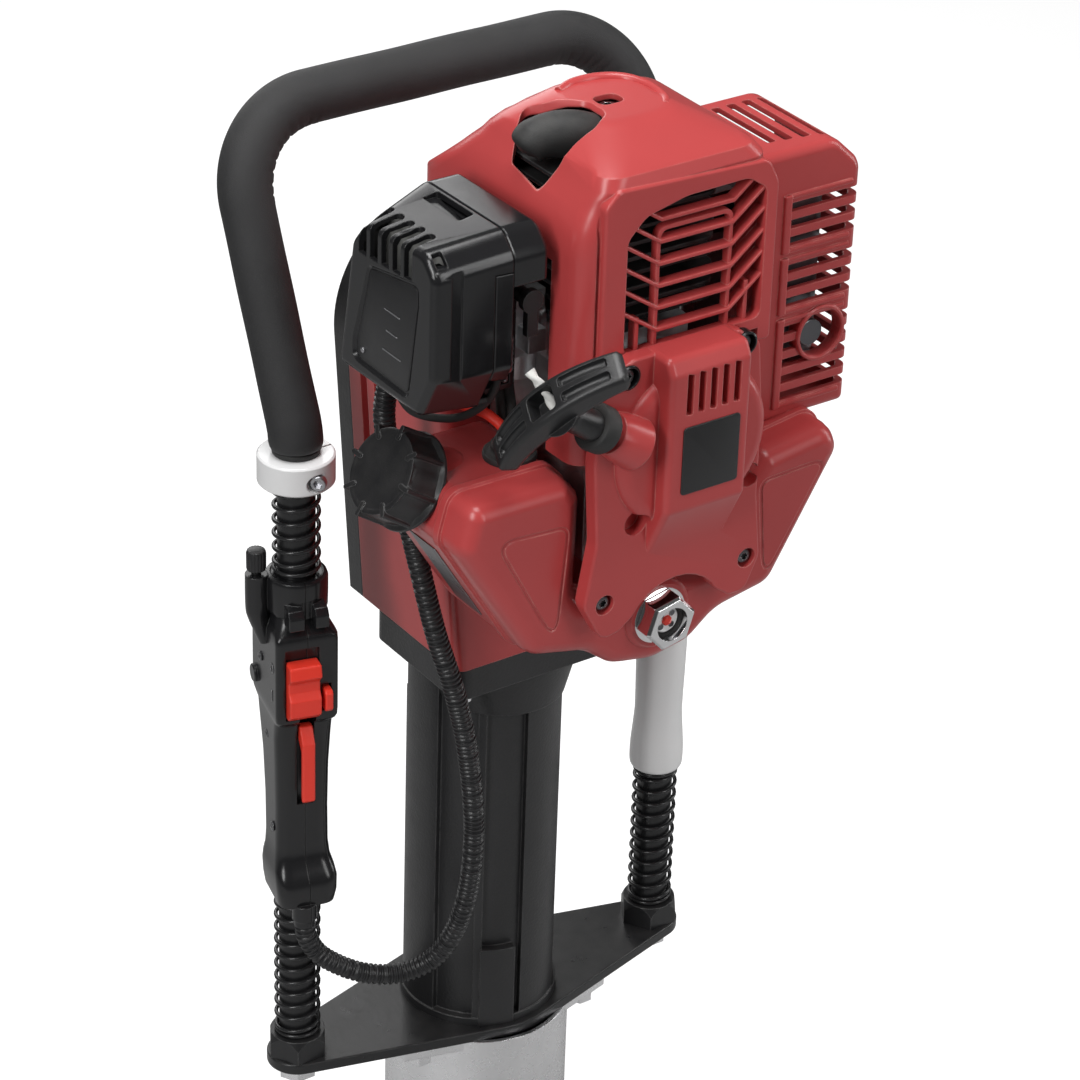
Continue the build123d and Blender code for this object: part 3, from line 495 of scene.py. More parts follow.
FINISHES = {  # grain is (scale, strength)
    "red_plastic": dict(colour=(0.49, 0.06, 0.06), rough=0.29, grain=(1100, 0.04), blotch=0.05,
        rough_blotch=0.04, edge=1.1, wear=(0.8, 0.3, 0.27), wear_amount=0.35),
    "black_plastic": dict(colour=(0.013, 0.013, 0.014), rough=0.32, grain=(1900, 0.22), blotch=0.12,
        edge=0.7, wear=(0.1, 0.1, 0.1), wear_amount=0.5, dust=0.04),
    "gloss_black": dict(colour=(0.012, 0.012, 0.013), rough=0.2, grain=(2600, 0.03), blotch=0.08, edge=0.9,
        wear=(0.06, 0.06, 0.06), wear_amount=0.3),
    "bright_red": dict(colour=(0.86, 0.045, 0.025), rough=0.34, grain=(2400, 0.1), blotch=0.05, edge=0.7,
        wear=(0.95, 0.25, 0.2), wear_amount=0.3),
    "black_paint": dict(colour=(0.014, 0.014, 0.015), rough=0.3, grain=(1500, 0.1), blotch=0.1, edge=0.8,
        wear=(0.16, 0.16, 0.16), wear_amount=0.5, scratches=0.05, dust=0.03),
    "black_casting": dict(colour=(0.02, 0.02, 0.021), rough=0.34, grain=(700, 0.3), blotch=0.12, edge=1.2,
        wear=(0.11, 0.11, 0.11), wear_amount=0.5, dust=0.04),
    "white_paint": dict(colour=(0.87, 0.87, 0.87), rough=0.22, grain=(1200, 0.05), blotch=0.03, edge=0.8,
        coat=0.3, wear=(0.55, 0.55, 0.55), wear_amount=0.3),
    "bright_steel": dict(colour=(0.9, 0.9, 0.91), rough=0.27, metal=1.0, grain=(420, 0.1),
        brushed=(1.0, 1.0, 26.0), edge=0.7, rough_blotch=0.3),
    "machined_steel": dict(colour=(0.46, 0.46, 0.48), rough=0.33, metal=1.0, grain=(600, 0.12),
        rough_blotch=0.3, edge=0.6),
    "dark_steel": dict(colour=(0.16, 0.16, 0.17), rough=0.3, metal=1.0, grain=(900, 0.1), edge=0.4,
        wear=(0.7, 0.7, 0.7), wear_amount=1.0),
    "chrome_trim": dict(colour=(0.86, 0.86, 0.87), rough=0.07, metal=1.0, grain=(600, 0.02), edge=0.6,
        rough_blotch=0.4),
    "bare_aluminium": dict(colour=(0.58, 0.59, 0.6), rough=0.42, metal=1.0, grain=(800, 0.35),
        rough_blotch=0.25, edge=0.8),
    "bronze_bush": dict(colour=(0.62, 0.42, 0.2), rough=0.32, metal=1.0, grain=(600, 0.1), edge=0.6),
    "black_rubber": dict(colour=(0.018, 0.018, 0.018), rough=0.62, grain=(1300, 0.3), edge=1.0, blotch=0.2,
        dust=0.08),
    "foam_rubber": dict(colour=(0.02, 0.02, 0.021), rough=0.66, grain=(2300, 0.5), blotch=0.15, edge=0.6,
        dust=0.03),
    "conduit_rubber": dict(colour=(0.017, 0.017, 0.018), rough=0.34, grain=(1500, 0.12), edge=0.3,
        blotch=0.1),
    "black_spring": dict(colour=(0.02, 0.02, 0.021), rough=0.24, grain=(1500, 0.1), edge=0.3,
        wear=(0.35, 0.35, 0.35), wear_amount=0.3),
    "filter_foam": dict(colour=(0.22, 0.22, 0.21), rough=0.9, grain=(700, 0.9), blotch=0.2, edge=0.5),
    "white_cord": dict(colour=(0.78, 0.77, 0.74), rough=0.75, grain=(1600, 0.8), blotch=0.1, edge=0.3),
}
MATERIALS = {name: material(name, **values) for name, values in FINISHES.items()}


def finish(obj, slot_name):
    obj.data.materials.clear()
    obj.data.materials.append(MATERIALS[slot_name])


def dress(obj, slot_name, *stands_for, body="frame"):
    """Gives a piece its finish, rides it on a body and hides the nodes it stands for."""
    finish(obj, slot_name)
    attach(obj, body)
    if stands_for:
        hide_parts(*stands_for)
    return obj


def show(obj, name, slot_name, *stands_for, body="frame"):
    """Dresses a piece that needs a new name and even shading on its flat faces."""
    obj.name = name
    even_shading(obj)
    return dress(obj, slot_name, *stands_for, body=body)


def stretch(obj, slot_name, node):
    """Gives a piece that joins two bodies its finish, hides the node it stands for and bakes its transform
    into the mesh.
    """
    finish(obj, slot_name)
    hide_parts(node)
    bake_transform(obj)


for part in frame["record"]["subparts"]:
    finish(frame["nodes"][part["node"]], part["material_slot"])


# ---- foam grip on the bail ----
BAIL = [(-SPAN, 0, 556), (-SPAN, 0, 566), (-SPAN, 65, 716), (SPAN, 65, 716), (SPAN, 0, 566), (SPAN, 0, 556)]
BEND_R = 46.0
CREASE_DEPTH = 1.15
FOAM_END_Z = 558.4
FOAM_R = 14.0


def foam_grip():
    path = [p for p in fillet_path(BAIL, BEND_R, 1.1) if p.z > FOAM_END_Z]
    total = len(path)
    bends = []
    for i in range(total):
        a = path[max(0, i - 3)]
        b = path[min(total - 1, i + 3)]
        bends.append(a + b - 2 * path[i])
    strength = [min(1, v.length / 0.18) for v in bends]
    soft = []
    for i in range(total):
        near = strength[max(0, i - 9): i + 10]
        soft.append(sum(near) / len(near))
    phase = [random.uniform(-0.5, 0.5) for _ in range(total)]

    def radius(i, angle, side, up, tangent):
        out = side * cos(angle) + up * sin(angle)
        r = FOAM_R + 0.10 * sin(i * 0.11 + 2 * cos(angle)) + 0.07 * sin(i * 0.05 + 3 * angle)
        if bends[i].length > 1e-4:
            inner = max(0, out.dot(bends[i].normalized()))
            crease = max(0, sin(i * 0.93 + 0.9 * sin(angle * 3 + i * 0.2) + phase[i] * 0.25)) ** 2
            r -= CREASE_DEPTH * soft[i] * inner ** 3 * crease
            r += 0.45 * soft[i] * inner ** 2
        from_end = min(i, total - 1 - i)
        if from_end < 3:
            r -= (0.9, 0.35, 0.1)[from_end]
        return r

    return sweep("foam_grip_skin", path, radius, 56, sharp=70)


dress(foam_grip(), "foam_rubber", "foam_grip")

for side_sign in (-1, 1):
    dress(lathe("collar_bush_" + ("left" if side_sign < 0 else "right"),
        [(10.2, 0), (12.4, 0.3), (12.6, 1.4), (12.2, 2.8), (10.2, 3.2)], (side_sign * SPAN, 0, 555.5), UP,
        40), "black_rubber")


# ---- springs ----
SPRING_R = 11.7
WIRE_R = 1.15
PITCH = 8.2
END_TURNS = 1.1  # closed turns at each end
END_PITCH = 2.35
STEPS_A_TURN = 30


def coil(name, x, z0, z1, pitch, start):
    length = z1 - z0 - 2 * WIRE_R
    turns = (length - 2 * END_TURNS * END_PITCH) / pitch + 2 * END_TURNS
    count = int(turns * STEPS_A_TURN)
    points = []
    for k in range(count + 1):
        t = turns * k / count
        if t < END_TURNS:
            height = END_PITCH * t
        elif t > turns - END_TURNS:
            height = length - END_PITCH * (turns - t)
        else:
            open_length = length - 2 * END_PITCH * END_TURNS
            height = END_PITCH * END_TURNS + (t - END_TURNS) * open_length / (turns - 2 * END_TURNS)
        a = 2 * pi * t + start
        points.append((x + SPRING_R * cos(a), SPRING_R * sin(a), z0 + WIRE_R + height))
    return sweep(name, points, WIRE_R, 12, sharp=80)


for level, side, z0, z1, start, grip_end, frame_end in (  # start turns the coil; the ends are heights
        ("upper", "left", 486.2, 538.8, 0.4, 486, 539), ("upper", "right", 486.2, 538.8, 1.4, 486, 539),
        ("lower", "left", 192.2, 287.8, 2.2, 288, 192), ("lower", "right", 192.2, 283.8, 3, 284, 192)):
    x, body = (-SPAN, "left_grip") if side == "left" else (SPAN, "right_handle_grip")
    stretch(coil(f"spring_{level}_{side}", x, z0, z1, PITCH, start), "black_spring",
        f"{level}_{side}_spring")


# ---- cable conduit ----
CONDUIT_R = 4.75
RIDGE_HEIGHT = 0.95
RIDGE_PITCH = 2.9


def conduit():
    x = -SPAN
    path = smooth_path([(x - 6.7, -18.4, 278), (x - 5.2, -19.6, 266), (x + 2, -24.8, 254),
        (x + 21, -33.6, 242), (x + 43, -42, 239), (x + 61, -50, 251), (x + 72, -56, 282),
        (x + 74, -60, 330), (x + 67, -63, 384), (x + 55, -66, 430), (x + 44, -64, 468), (x + 34, -58, 520),
        (x + 26, -50, 565), (x + 22, -48, 592), (x + 24, -50, 618)], 0.42)
    travel = [0]
    for a, b in zip(path, path[1:]):
        travel.append(travel[-1] + (b - a).length)

    def radius(i, angle, side, up, tangent):
        ridge = min(1, max(0, 0.5 + 1.3 * sin(2 * pi * travel[i] / RIDGE_PITCH)))
        return CONDUIT_R + RIDGE_HEIGHT * ridge

    tube = sweep("corrugated_conduit", path, radius, 22, sharp=50)
    stretch(tube, "conduit_rubber", "cable_conduit")


conduit()


# ---- engine shroud ----
SHROUD_WALL = 3.0
SHROUD_BASE_Z = 598
SLOPE_Z = 700  # the roof begins to slope above this
SHROUD = [  # z, x0, x1, y0, y1, corner
    (598, -56, 57, -153, -12, 12), (706, -56, 57, -153, -12, 12), (716, -55.6, 57, -153, -25, 12),
    (724, -53.6, 56.5, -153, -34, 13), (730, -51.2, 55.5, -153, -40, 13), (736, -48.2, 54, -153.5, -46, 13),
    (741, -46, 52, -155, -50, 12), (747, -43.5, 47.5, -152.5, -56, 13), (749, -41, 44, -148, -58, 15),
    (752, -36.5, 38, -140, -60, 17), (755, -31, 31.5, -131, -63, 18), (757, -27, 27, -125, -65, 18),
    (758.4, -23.5, 24, -121, -68, 16), (759, -19, 20, -116, -73, 13),
]


def section(z, x0, x1, y0, y1, corner, inset=0):
    ring = rounded_outline(rectangle(x0, x1, y0, y1), corner, inset, 8)
    return [(u, v, z) for u, v in ring]


def shroud_prism(name, inset, z_low, top_drop):
    """The shroud's outside, or a smaller copy of it to hollow the shroud out."""
    rings = []
    for z, x0, x1, y0, y1, corner in SHROUD:
        rings.append(section(max(z_low, z - top_drop) if z > SLOPE_Z else z, x0, x1, y0, y1, corner, inset))
    if z_low < SHROUD_BASE_Z:
        rings[0] = [(u, v, z_low) for u, v, _ in rings[0]]
    return loft(name, rings, sharp=25)


GRILLE_OPENING = [(-32, 655), (49.5, 655), (49.5, 724), (38, 731.5), (2, 731), (-22, 725.5), (-32, 715)]
GRILLE_RADII = [5, 5, 7, 10, 30, 12, 8]
POCKET = [(-50, -84), (-35, -71), (-30, -79), (-15, -94), (-15, -107), (-26, -115), (-44, -118),
    (-52, -110)]


def shroud():
    body = shroud_prism("shroud", 0, SHROUD_BASE_Z, 0)
    face = moulded("face", [(-45.5, 648), (57, 641), (57, 726), (50.5, 739), (-38, 742.5), (-45.5, 735)],
        [3, 3, 9, 8, 6, 7], front_rim(-148, -156.2, 1.6, 3), xz)
    body = fuse(body, face)
    body = cut(body, shroud_prism("room", SHROUD_WALL, 590, SHROUD_WALL))
    body = cut(body, moulded("hole", GRILLE_OPENING, GRILLE_RADII, [(-158, -0.9), (-155.2, 0), (-140, 0)],
        xz))
    body = cut(body, moulded("pocket", POCKET, [4, 4, 3, 7, 7, 6, 5, 6],
        [(790, -18), (757, -1.6), (751, -0.2), (700, 0)], xy))
    body = cut(body, moulded("slot", rectangle(-10, 4, -101, -90), 4.5, edge_levels(753, 770, 0, 1), xy),
        slab("low", -49, 49, -160, -144, 590, 649, 2, 0),
        slab("side_a", -75, -50.5, -128, -40, 590, 700, 3, 0),
        slab("side_b", 51, 75, -128, -50, 590, 720, 3, 0), slab("back", -70, 70, -60, 0, 590, 664, 2, 0),
        slab("groove", -47.4, -45.6, -158, -151.2, 600, 733, 0.3, 0))
    return body


BAR_STEP = 11.7
BAR_HALF = 1.15
GRILLE_BACK = -149


def grille_bars():
    parts = []
    for i in range(6):
        z = 663 + BAR_STEP * i
        middle = [(-33.5, z + 14.5), (-12, z), (31, z), (50.5, z + 15.5)]
        ring = [(u, v + BAR_HALF) for u, v in middle] + [(u, v - BAR_HALF) for u, v in reversed(middle)]
        parts.append(moulded("bar", ring, [0.3, 1.2, 1.2, 0.3, 0.3, 1.2, 1.2, 0.3],
            front_rim(GRILLE_BACK, -155.2, 0.7, 2), xz, 3))
    arch = [(-13.2, 650), (-13.2, 717), (32.2, 717), (32.2, 650), (29.8, 650), (29.8, 714.6),
        (-10.8, 714.6), (-10.8, 650)]
    parts.append(moulded("arch", arch, [0.3, 6, 6, 0.3, 0.3, 4, 4, 0.3],
        front_rim(GRILLE_BACK, -153.6, 0.6, 2), xz, 5))
    for x, top in ((-23.5, 672), (41.5, 676)):
        parts.append(moulded("post", rectangle(x - 1.2, x + 1.2, 650, top), 0.3,
            front_rim(GRILLE_BACK, -154.4, 0.6, 2), xz, 2))
    bars = fuse(parts[0], *parts[1:])
    keep = moulded("keep", GRILLE_OPENING, GRILLE_RADII, [(-158, -1.2), (-130, -1.2)], xz)
    return boolean(bars, [keep], "INTERSECT")


show(shroud(), "shroud_shell", "red_plastic", "engine_shroud")
show(grille_bars(), "shroud_grille", "red_plastic")

rim_path = [(-17, -74, 757.6), (-6, -70, 758.4), (8, -71.5, 758.8), (19, -78, 758.6), (24.5, -90, 758),
    (24, -104, 757), (19, -112, 756.6)]
dress(sweep("shroud_rim", smooth_path(rim_path, 1.2), 2.6, 16, sharp=60), "red_plastic")


def plug_boot():
    path = smooth_path([(-4, -103, 730), (-12, -102, 741), (-24, -99, 746.5), (-36, -95, 747.5),
        (-46, -92, 744.5), (-50, -91, 741)], 0.9)
    total = len(path)

    def radius(i, angle, side, up, tangent):
        t = i / (total - 1)
        r = 10.6 + 1.3 * sin(pi * min(1, t * 1.25))
        if t > 0.86:
            r *= sqrt(max(0.02, 1 - ((t - 0.86) / 0.14) ** 2))
        return r

    return sweep("plug_boot", path, radius, 40, sharp=70)


dress(plug_boot(), "black_rubber", "spark_plug_cap")
dress(sweep("ignition_lead", smooth_path([(-8, -104, 738), (4, -96, 741), (10, -80, 738), (12, -66, 726)],
    1.5), 3.4, 18), "black_rubber")


def screw(name, at, out, profile, recess, slot_name, *stands_for, body="frame"):
    """A screw whose head stands on 'at' and points along 'out'; recess is radius, start, depth, points."""
    o = Vector(at)
    z = Vector(out).normalized()
    radius, start, depth, points = recess
    wave = None if points == 6 else lambda a, r, h: r * (0.84 + 0.16 * cos(6 * a))
    socket = lathe("socket", [(radius, 0), (radius, depth)], o + z * start, z, points, wave=wave)
    head = cut(lathe(name, profile, o, z, 40 if wave else 36), socket)
    return dress(head, slot_name, *stands_for, body=body)


def torx_screw(name, at, out, head_r, head_h, body="frame"):
    """A pan head with a six-lobed recess."""
    profile = [(head_r * 0.99, 0), (head_r, 0.2), (head_r, head_h * 0.62), (head_r * 0.88, head_h * 0.93),
        (head_r * 0.7, head_h)]
    return screw(name, at, out, profile, (head_r * 0.56, head_h * 0.4, head_h, 48), "dark_steel", body=body)


def hex_screw(name, at, out, radius, height, slot_name, *stands_for):
    """A cap head with a hexagon socket."""
    profile = [(radius - 0.5, 0), (radius, 0.3), (radius, height - 0.5), (radius - 0.5, height)]
    return screw(name, at, out, profile, (radius * 0.56, height * 0.35, height, 6), slot_name, *stands_for)


torx_screw("top_screw", (-3, -95.5, 752), UP, 5.2, 4.2)


# ---- muffler cover ----
SLOT_STEP = 9.3
SLOT_HEIGHT = 4.9
PORT = (113, 617)  # x and z of the exhaust port


def muffler_cover():
    outline = [(60, 572), (133.5, 572), (133.5, 707), (117, 722.5), (60, 722.5)]
    radii = [1.5, 4, 12, 15, 3]
    body = moulded("muffler_guard", outline, radii, front_rim(-58, -126, 5, 5), xz, 8)
    room = moulded("room", outline, radii, [(-50, 3), (-119, 3), (-123, 6)], xz, 8)
    body = cut(body, room)
    slots = []
    for base, count in ((670.5, 3), (636.5, 3), (583.5, 5)):
        for i in range(count):
            z = base + SLOT_STEP * i
            slots.append(slab("s", 89.5, 140, -130, -112, z, z + SLOT_HEIGHT, 1, 0))
            slots.append(slab("s", 127, 140, -130, -72, z, z + SLOT_HEIGHT, 1, 0))
    slots += [slab("s", x, x + 5.2, -112 - 1.5 * i, -64, 705, 730, 1.5, 0)
        for i, x in enumerate((83.5, 93.1, 102.7, 112.3))]
    slots.append(moulded("ringhole", circle(13.2, 40, *PORT), 0.1, [(-110, 0), (-130, 0)], xz, 1))
    slots.append(slab("open", 50, 66, -118, -66, 585, 712, 1, 0))
    body = cut(body, *slots)
    extras = []
    for z0, z1 in ((667, 699), (633, 664.5), (580, 630.5)):
        extras.append(slab("rib", 84.6, 89.2, -128, -124, z0, z1, 1.2, 0.8))
        extras += [slab("lip", 86, 127.5, -127.2, -124, z, z + 2.4, 0.6, 0.6) for z in (z1 - 2.4, z0)]
    collar = [(12.9, -4), (15.2, -4), (15.2, 0), (15.4, 3), (14.8, 4), (13.6, 4), (12.9, 3)]
    tube = turned_ring("tube", collar, (PORT[0], -124, PORT[1]), FRONT, 56)
    tab = slab("tab", 96, 106, -127.6, -124, 570, 576, 1, 0.6)
    return join("muffler_guard", body, tube, tab, *extras)


show(muffler_cover(), "muffler_guard", "red_plastic", "muffler_cover")


# ---- fuel tank ----
SIGHT_Z = 499.0  # the sight glass's axis
CAP_WAY = (-0.84, 0, 0.5426)
CAP_AXIS = Vector(CAP_WAY).normalized()
NECK_AT = Vector((-113, -96, 581))


def sight_axis(y):
    return (0, y, SIGHT_Z)


TANK = [(-112, 590), (-118.5, 566), (-74, 494), (-40, 486), (-24, 473), (0, 468.5), (24, 473), (40, 486),
    (74, 492), (115, 561.5), (107.5, 576), (66, 570), (53, 556), (48, 524), (36, 514), (-36, 514),
    (-48, 524), (-47, 580), (-56, 589.5)]
TANK_RADII = [9, 11, 14, 24, 20, 26, 20, 24, 14, 12, 12, 9, 14, 10, 6, 6, 10, 7, 7]


def tank():
    levels = [(-67, 7), (-69, 3), (-73, 0.6), (-77, 0), (-124, 0), (-124.8, 0), (-125.2, -1.6),
        (-129.6, -1.6), (-130, 0), (-139, 0), (-144, 0.8), (-147.6, 2.8), (-149.6, 5.8), (-150.2, 9)]
    body = moulded("tank", TANK, TANK_RADII, levels, xz, 7, sharp=28)
    neck = lathe("neck", [(23, 0), (22.6, 12), (20.5, 20), (19.5, 22), (19.3, 26.6)],
        NECK_AT - CAP_AXIS * 27, CAP_WAY, 56)
    boss = lathe("boss", [(20, 0), (19.5, 6), (18.2, 7.6), (17.4, 8.4)], sight_axis(-145), FRONT, 56)
    body = fuse(body, neck, boss, sharp=28)
    outlines = []
    for points in ([(-100, 569), (-55, 566), (-61, 498)], [(61, 557), (107, 559), (67, 494)]):
        ring = moulded("o", points, [7, 7, 6], [(-149.7, 0), (-151, 0)], xz, 5)
        hole = moulded("i", points, [7, 7, 6], [(-149, 1.9), (-152, 1.9)], xz, 5)
        outlines.append(cut(ring, hole))
    return cut(body, *outlines, sharp=28)


show(tank(), "tank_shell", "red_plastic", "fuel_tank")


# ---- starter housing ----
ROPE_WAY = (-0.83, 0, 0.5578)
STARTER_HOLES = [  # x, z, y of the floor, radius, depth; the first four hold the screws
    (-35, 648, -160.4, 6.6, 12), (35, 648, -160.4, 6.6, 12), (-43.5, 524.5, -159.4, 5.4, 12),
    (43.5, 525, -159.4, 5.4, 12), (-27, 566, -158, 6.6, 22), (42, 573, -158, 6.6, 22),
]


def starter():
    arch = [(30 * cos(radians(a)), 497 + 30 * sin(radians(a))) for a in range(150, 29, -12)]
    plate = ([(-53, 605), (-50, 560), (-56, 526), (-44, 504)] + [(-34, 506)] + arch + [(34, 506), (44, 506),
        (52, 524), (48, 560), (48, 606), (44, 648), (30, 657), (-32, 657), (-48, 650)])
    radii = [20, 20, 9, 9, 3] + [4] * len(arch) + [3, 8, 9, 20, 20, 10, 8, 8, 9]
    base = moulded("starter", plate, radii, front_rim(-157, -165.4, 1.5, 3), xz, 5)
    disc = lathe("disc", [(45, 0), (44.5, 6.5), (43.2, 9), (40.5, 10.8), (37, 11.4)], (3, -160, 603), FRONT,
        96)
    nose = moulded("nose", [(-158, 540), (-165, 545), (-180.2, 575), (-180.2, 650), (-176, 658),
        (-158, 658)], [1, 1, 6, 7, 5, 1], edge_levels(-20.5, 28.5, 3.4, 4), yz, 6)
    boss = lathe("boss", [(13.5, -6), (12.5, 4), (11.4, 9), (10.6, 11.8)], (-38.5, -170, 617.6), ROPE_WAY,
        40)
    body = fuse(base, disc, nose, boss)
    cuts = []
    for i in range(5):
        x = -10.8 + 7.1 * i
        cuts.append(moulded("v", [(x, 628), (x + 4, 626.8), (x + 4, 648.6), (x, 650)], 0.8,
            [(-160, 0), (-185, 0)], xz, 2))
    for x, z, floor_y, radius, depth in STARTER_HOLES:
        cuts.append(lathe("hole", [(radius, 0), (radius, depth)], (x, floor_y, z), FRONT, 32))
    return cut(body, *cuts)


show(starter(), "starter_shell", "red_plastic", "starter_housing")
for i, (x, z, floor_y, radius, depth) in enumerate(STARTER_HOLES[:4]):
    torx_screw(f"starter_screw_{i + 1}", (x, floor_y - 0.6, z), FRONT, 4.1, 3.6)
    if i < 2:
        dress(lathe(f"screw_cup_{i + 1}", [(6.5, 0), (6.5, 5.6), (5.4, 6.2), (5.2, 1), (4.2, 0.8)],
            (x, -160.2, z), FRONT, 36), "gloss_black")
dress(moulded("blank_plate", rectangle(-12, 22, 584, 621), 2.2, edge_levels(-180, -180.9, 0.3, 2), xz),
    "black_plastic")


# ---- air cleaner ----
CLEANER_BASE = [(-46, 627), (-50, 706), (-60, 722), (-128, 723), (-138, 713), (-138, 655), (-124, 628)]
CLEANER_FACE = [(-49, 630), (-60, 700), (-72, 715), (-124, 719), (-133.5, 709), (-133.5, 655), (-121, 631)]
CLEANER_RADII = [5, 10, 10, 10, 10, 8, 6]
SEAM_X = -84.0
FACE_X = -126.0
FACE_RIM = 4.2
VENT_STEP = 9.9
VENT_HALF = 3.5


def cleaner_part(name, levels, sharp=30):
    """A solid between the base's and the face's outline: levels is (x, inset, share of the way) triples."""
    rings = []
    for x, inset, share in levels:
        points = [(a[0] + (b[0] - a[0]) * share, a[1] + (b[1] - a[1]) * share)
            for a, b in zip(CLEANER_BASE, CLEANER_FACE)]
        rings.append([yz(u, v, x) for u, v in rounded_outline(points, CLEANER_RADII, inset, 7)])
    return loft(name, rings, sharp=sharp)


def cleaner_cover():
    quarter = [pi / 2 * k / 5 for k in range(6)]
    rim = [(FACE_X + FACE_RIM * (1 - sin(a)), FACE_RIM * (1 - cos(a)), 1) for a in quarter]
    body = cleaner_part("cover", [(SEAM_X - 0.3, 0.5, 0), (SEAM_X - 0.8, 0, 0.02)] + rim, 50)
    body = cut(body, cleaner_part("room", [(SEAM_X + 5, 2.6, 0), (FACE_X + 5, 2.6, 0.95),
        (FACE_X + 2.8, 5.2, 1)]))
    slots = []
    for i in range(5):
        y = -71 - VENT_STEP * i
        outline = rectangle(-150, -109 - 0.6 * i, y - VENT_HALF, y + VENT_HALF)
        slots.append(moulded("vent", outline, [0.5, 3.3, 3.3, 0.5], [(697 + 0.7 * i, 0), (740, 0)], xy, 4))
    slots.append(slab("latch", -94.6, -86, -106, -74, 718.6, 730, 1.6, 0))
    slots.append(slab("strip", -116.6, -110.6, -142, -133.7, 634, 712, 0.4, 0))
    slots.append(slab("pocket", -122.4, -117, -134, -124, 712.5, 730, 1.2, 0))
    slots.append(slab("step", -94, -80, -142, -120, 600, 705, 0.2, 0))
    slots.append(moulded("panel", [(-77, 693), (-119, 700.6), (-119.5, 690), (-111.5, 638), (-63.5, 639),
        (-64, 650)], [5, 5, 4, 5, 5, 4], [(-132, -1.2), (FACE_X, -1.2), (FACE_X + 1.5, 0.3)], yz, 5))
    body = cut(body, *slots)
    floor_plate = slab("plate", -96, -85, -108, -72, 715.6, 717.8, 0.5, 0)
    back_plate = slab("plate", -123.5, -116, -132, -122, 708, 711, 0.5, 0)
    return join("cleaner_cover", body, floor_plate, back_plate)


show(cleaner_cover(), "cleaner_cover", "gloss_black", "air_filter_cover", body="filter_cover")
panel_outline = [(-76.4, 691.6), (-117.6, 698.6), (-118, 689.8), (-110.4, 639.4), (-65, 640.4),
    (-65.4, 650)]
dress(moulded("cleaner_panel", panel_outline, [4, 4, 3, 4, 4, 3],
    [(FACE_X + 1.6, 0), (FACE_X + 1.1, 0), (FACE_X + 0.9, 0.4)], yz, 5), "black_plastic",
    body="filter_cover")
for i, (z, half) in enumerate(((676, 7), (665, 5), (654, 8))):
    dress(slab(f"panel_bar_{i + 1}", FACE_X + 0.7, FACE_X + 1.2, -96 - half, -96 + half, z - 0.35, z + 0.35,
        0.1, 0), "machined_steel", body="filter_cover")


def cleaner_base():
    body = cleaner_part("base", [(-64.6, 1.6, 0), (-66, 0.3, 0), (-67, 0, 0), (SEAM_X + 0.6, 0, 0),
        (SEAM_X, 0.6, 0)], 50)
    body = cut(body, cleaner_part("room", [(-90, 2.6, 0), (-67.5, 2.6, 0)]))
    body = cut(body, slab("notch", -84.6, -60, -150, -112, 600, 697, 2.5, 0))
    tongue = cleaner_part("tongue", [(-84.4, 0, 0), (-93.2, 0, 0.22), (-93.6, 0.5, 0.23)], 50)
    keep = slab("keep", -95, -80, -150, -133.4, 600, 704.4, 0.2, 0)
    tongue = boolean(tongue, [keep], "INTERSECT")
    return join("cleaner_base", body, tongue)


show(cleaner_base(), "cleaner_base", "gloss_black", "air_filter_base")
for i, (y, z) in enumerate(((-114.5, 645), (-70.5, 645.5))):
    dress(lathe(f"panel_stud_{i + 1}", [(1.5, 0), (1.5, 0.9), (0.9, 1.3)], (FACE_X + 1.4, y, z), LEFT, 20),
        "machined_steel", body="filter_cover")


# ---- starter pull handle ----
PULL_AXIS = Vector(ROPE_WAY).normalized()
PULL_BAR = Vector((0.4706, -0.5369, 0.7002)).normalized()
PULL_SIDE = PULL_AXIS.cross(PULL_BAR)
ROPE_EXIT = Vector((-48, -172, 624))
PULL_AT = ROPE_EXIT + PULL_AXIS * 34


def pull_point(u, v, w):
    """Handle space: u along the bar, v across it, w out along the rope."""
    p = PULL_AT + PULL_BAR * u + PULL_SIDE * v + PULL_AXIS * w
    return (p.x, p.y, p.z)


def oval(angle, radius, height):
    return radius * (1 + 0.10 * cos(2 * angle))


ARC_R = 78.0  # the handle's outer curve, whose centre lies 60 mm behind its middle
ARC_BACK = 60
ARC_HALF = 33.5  # degrees to each end


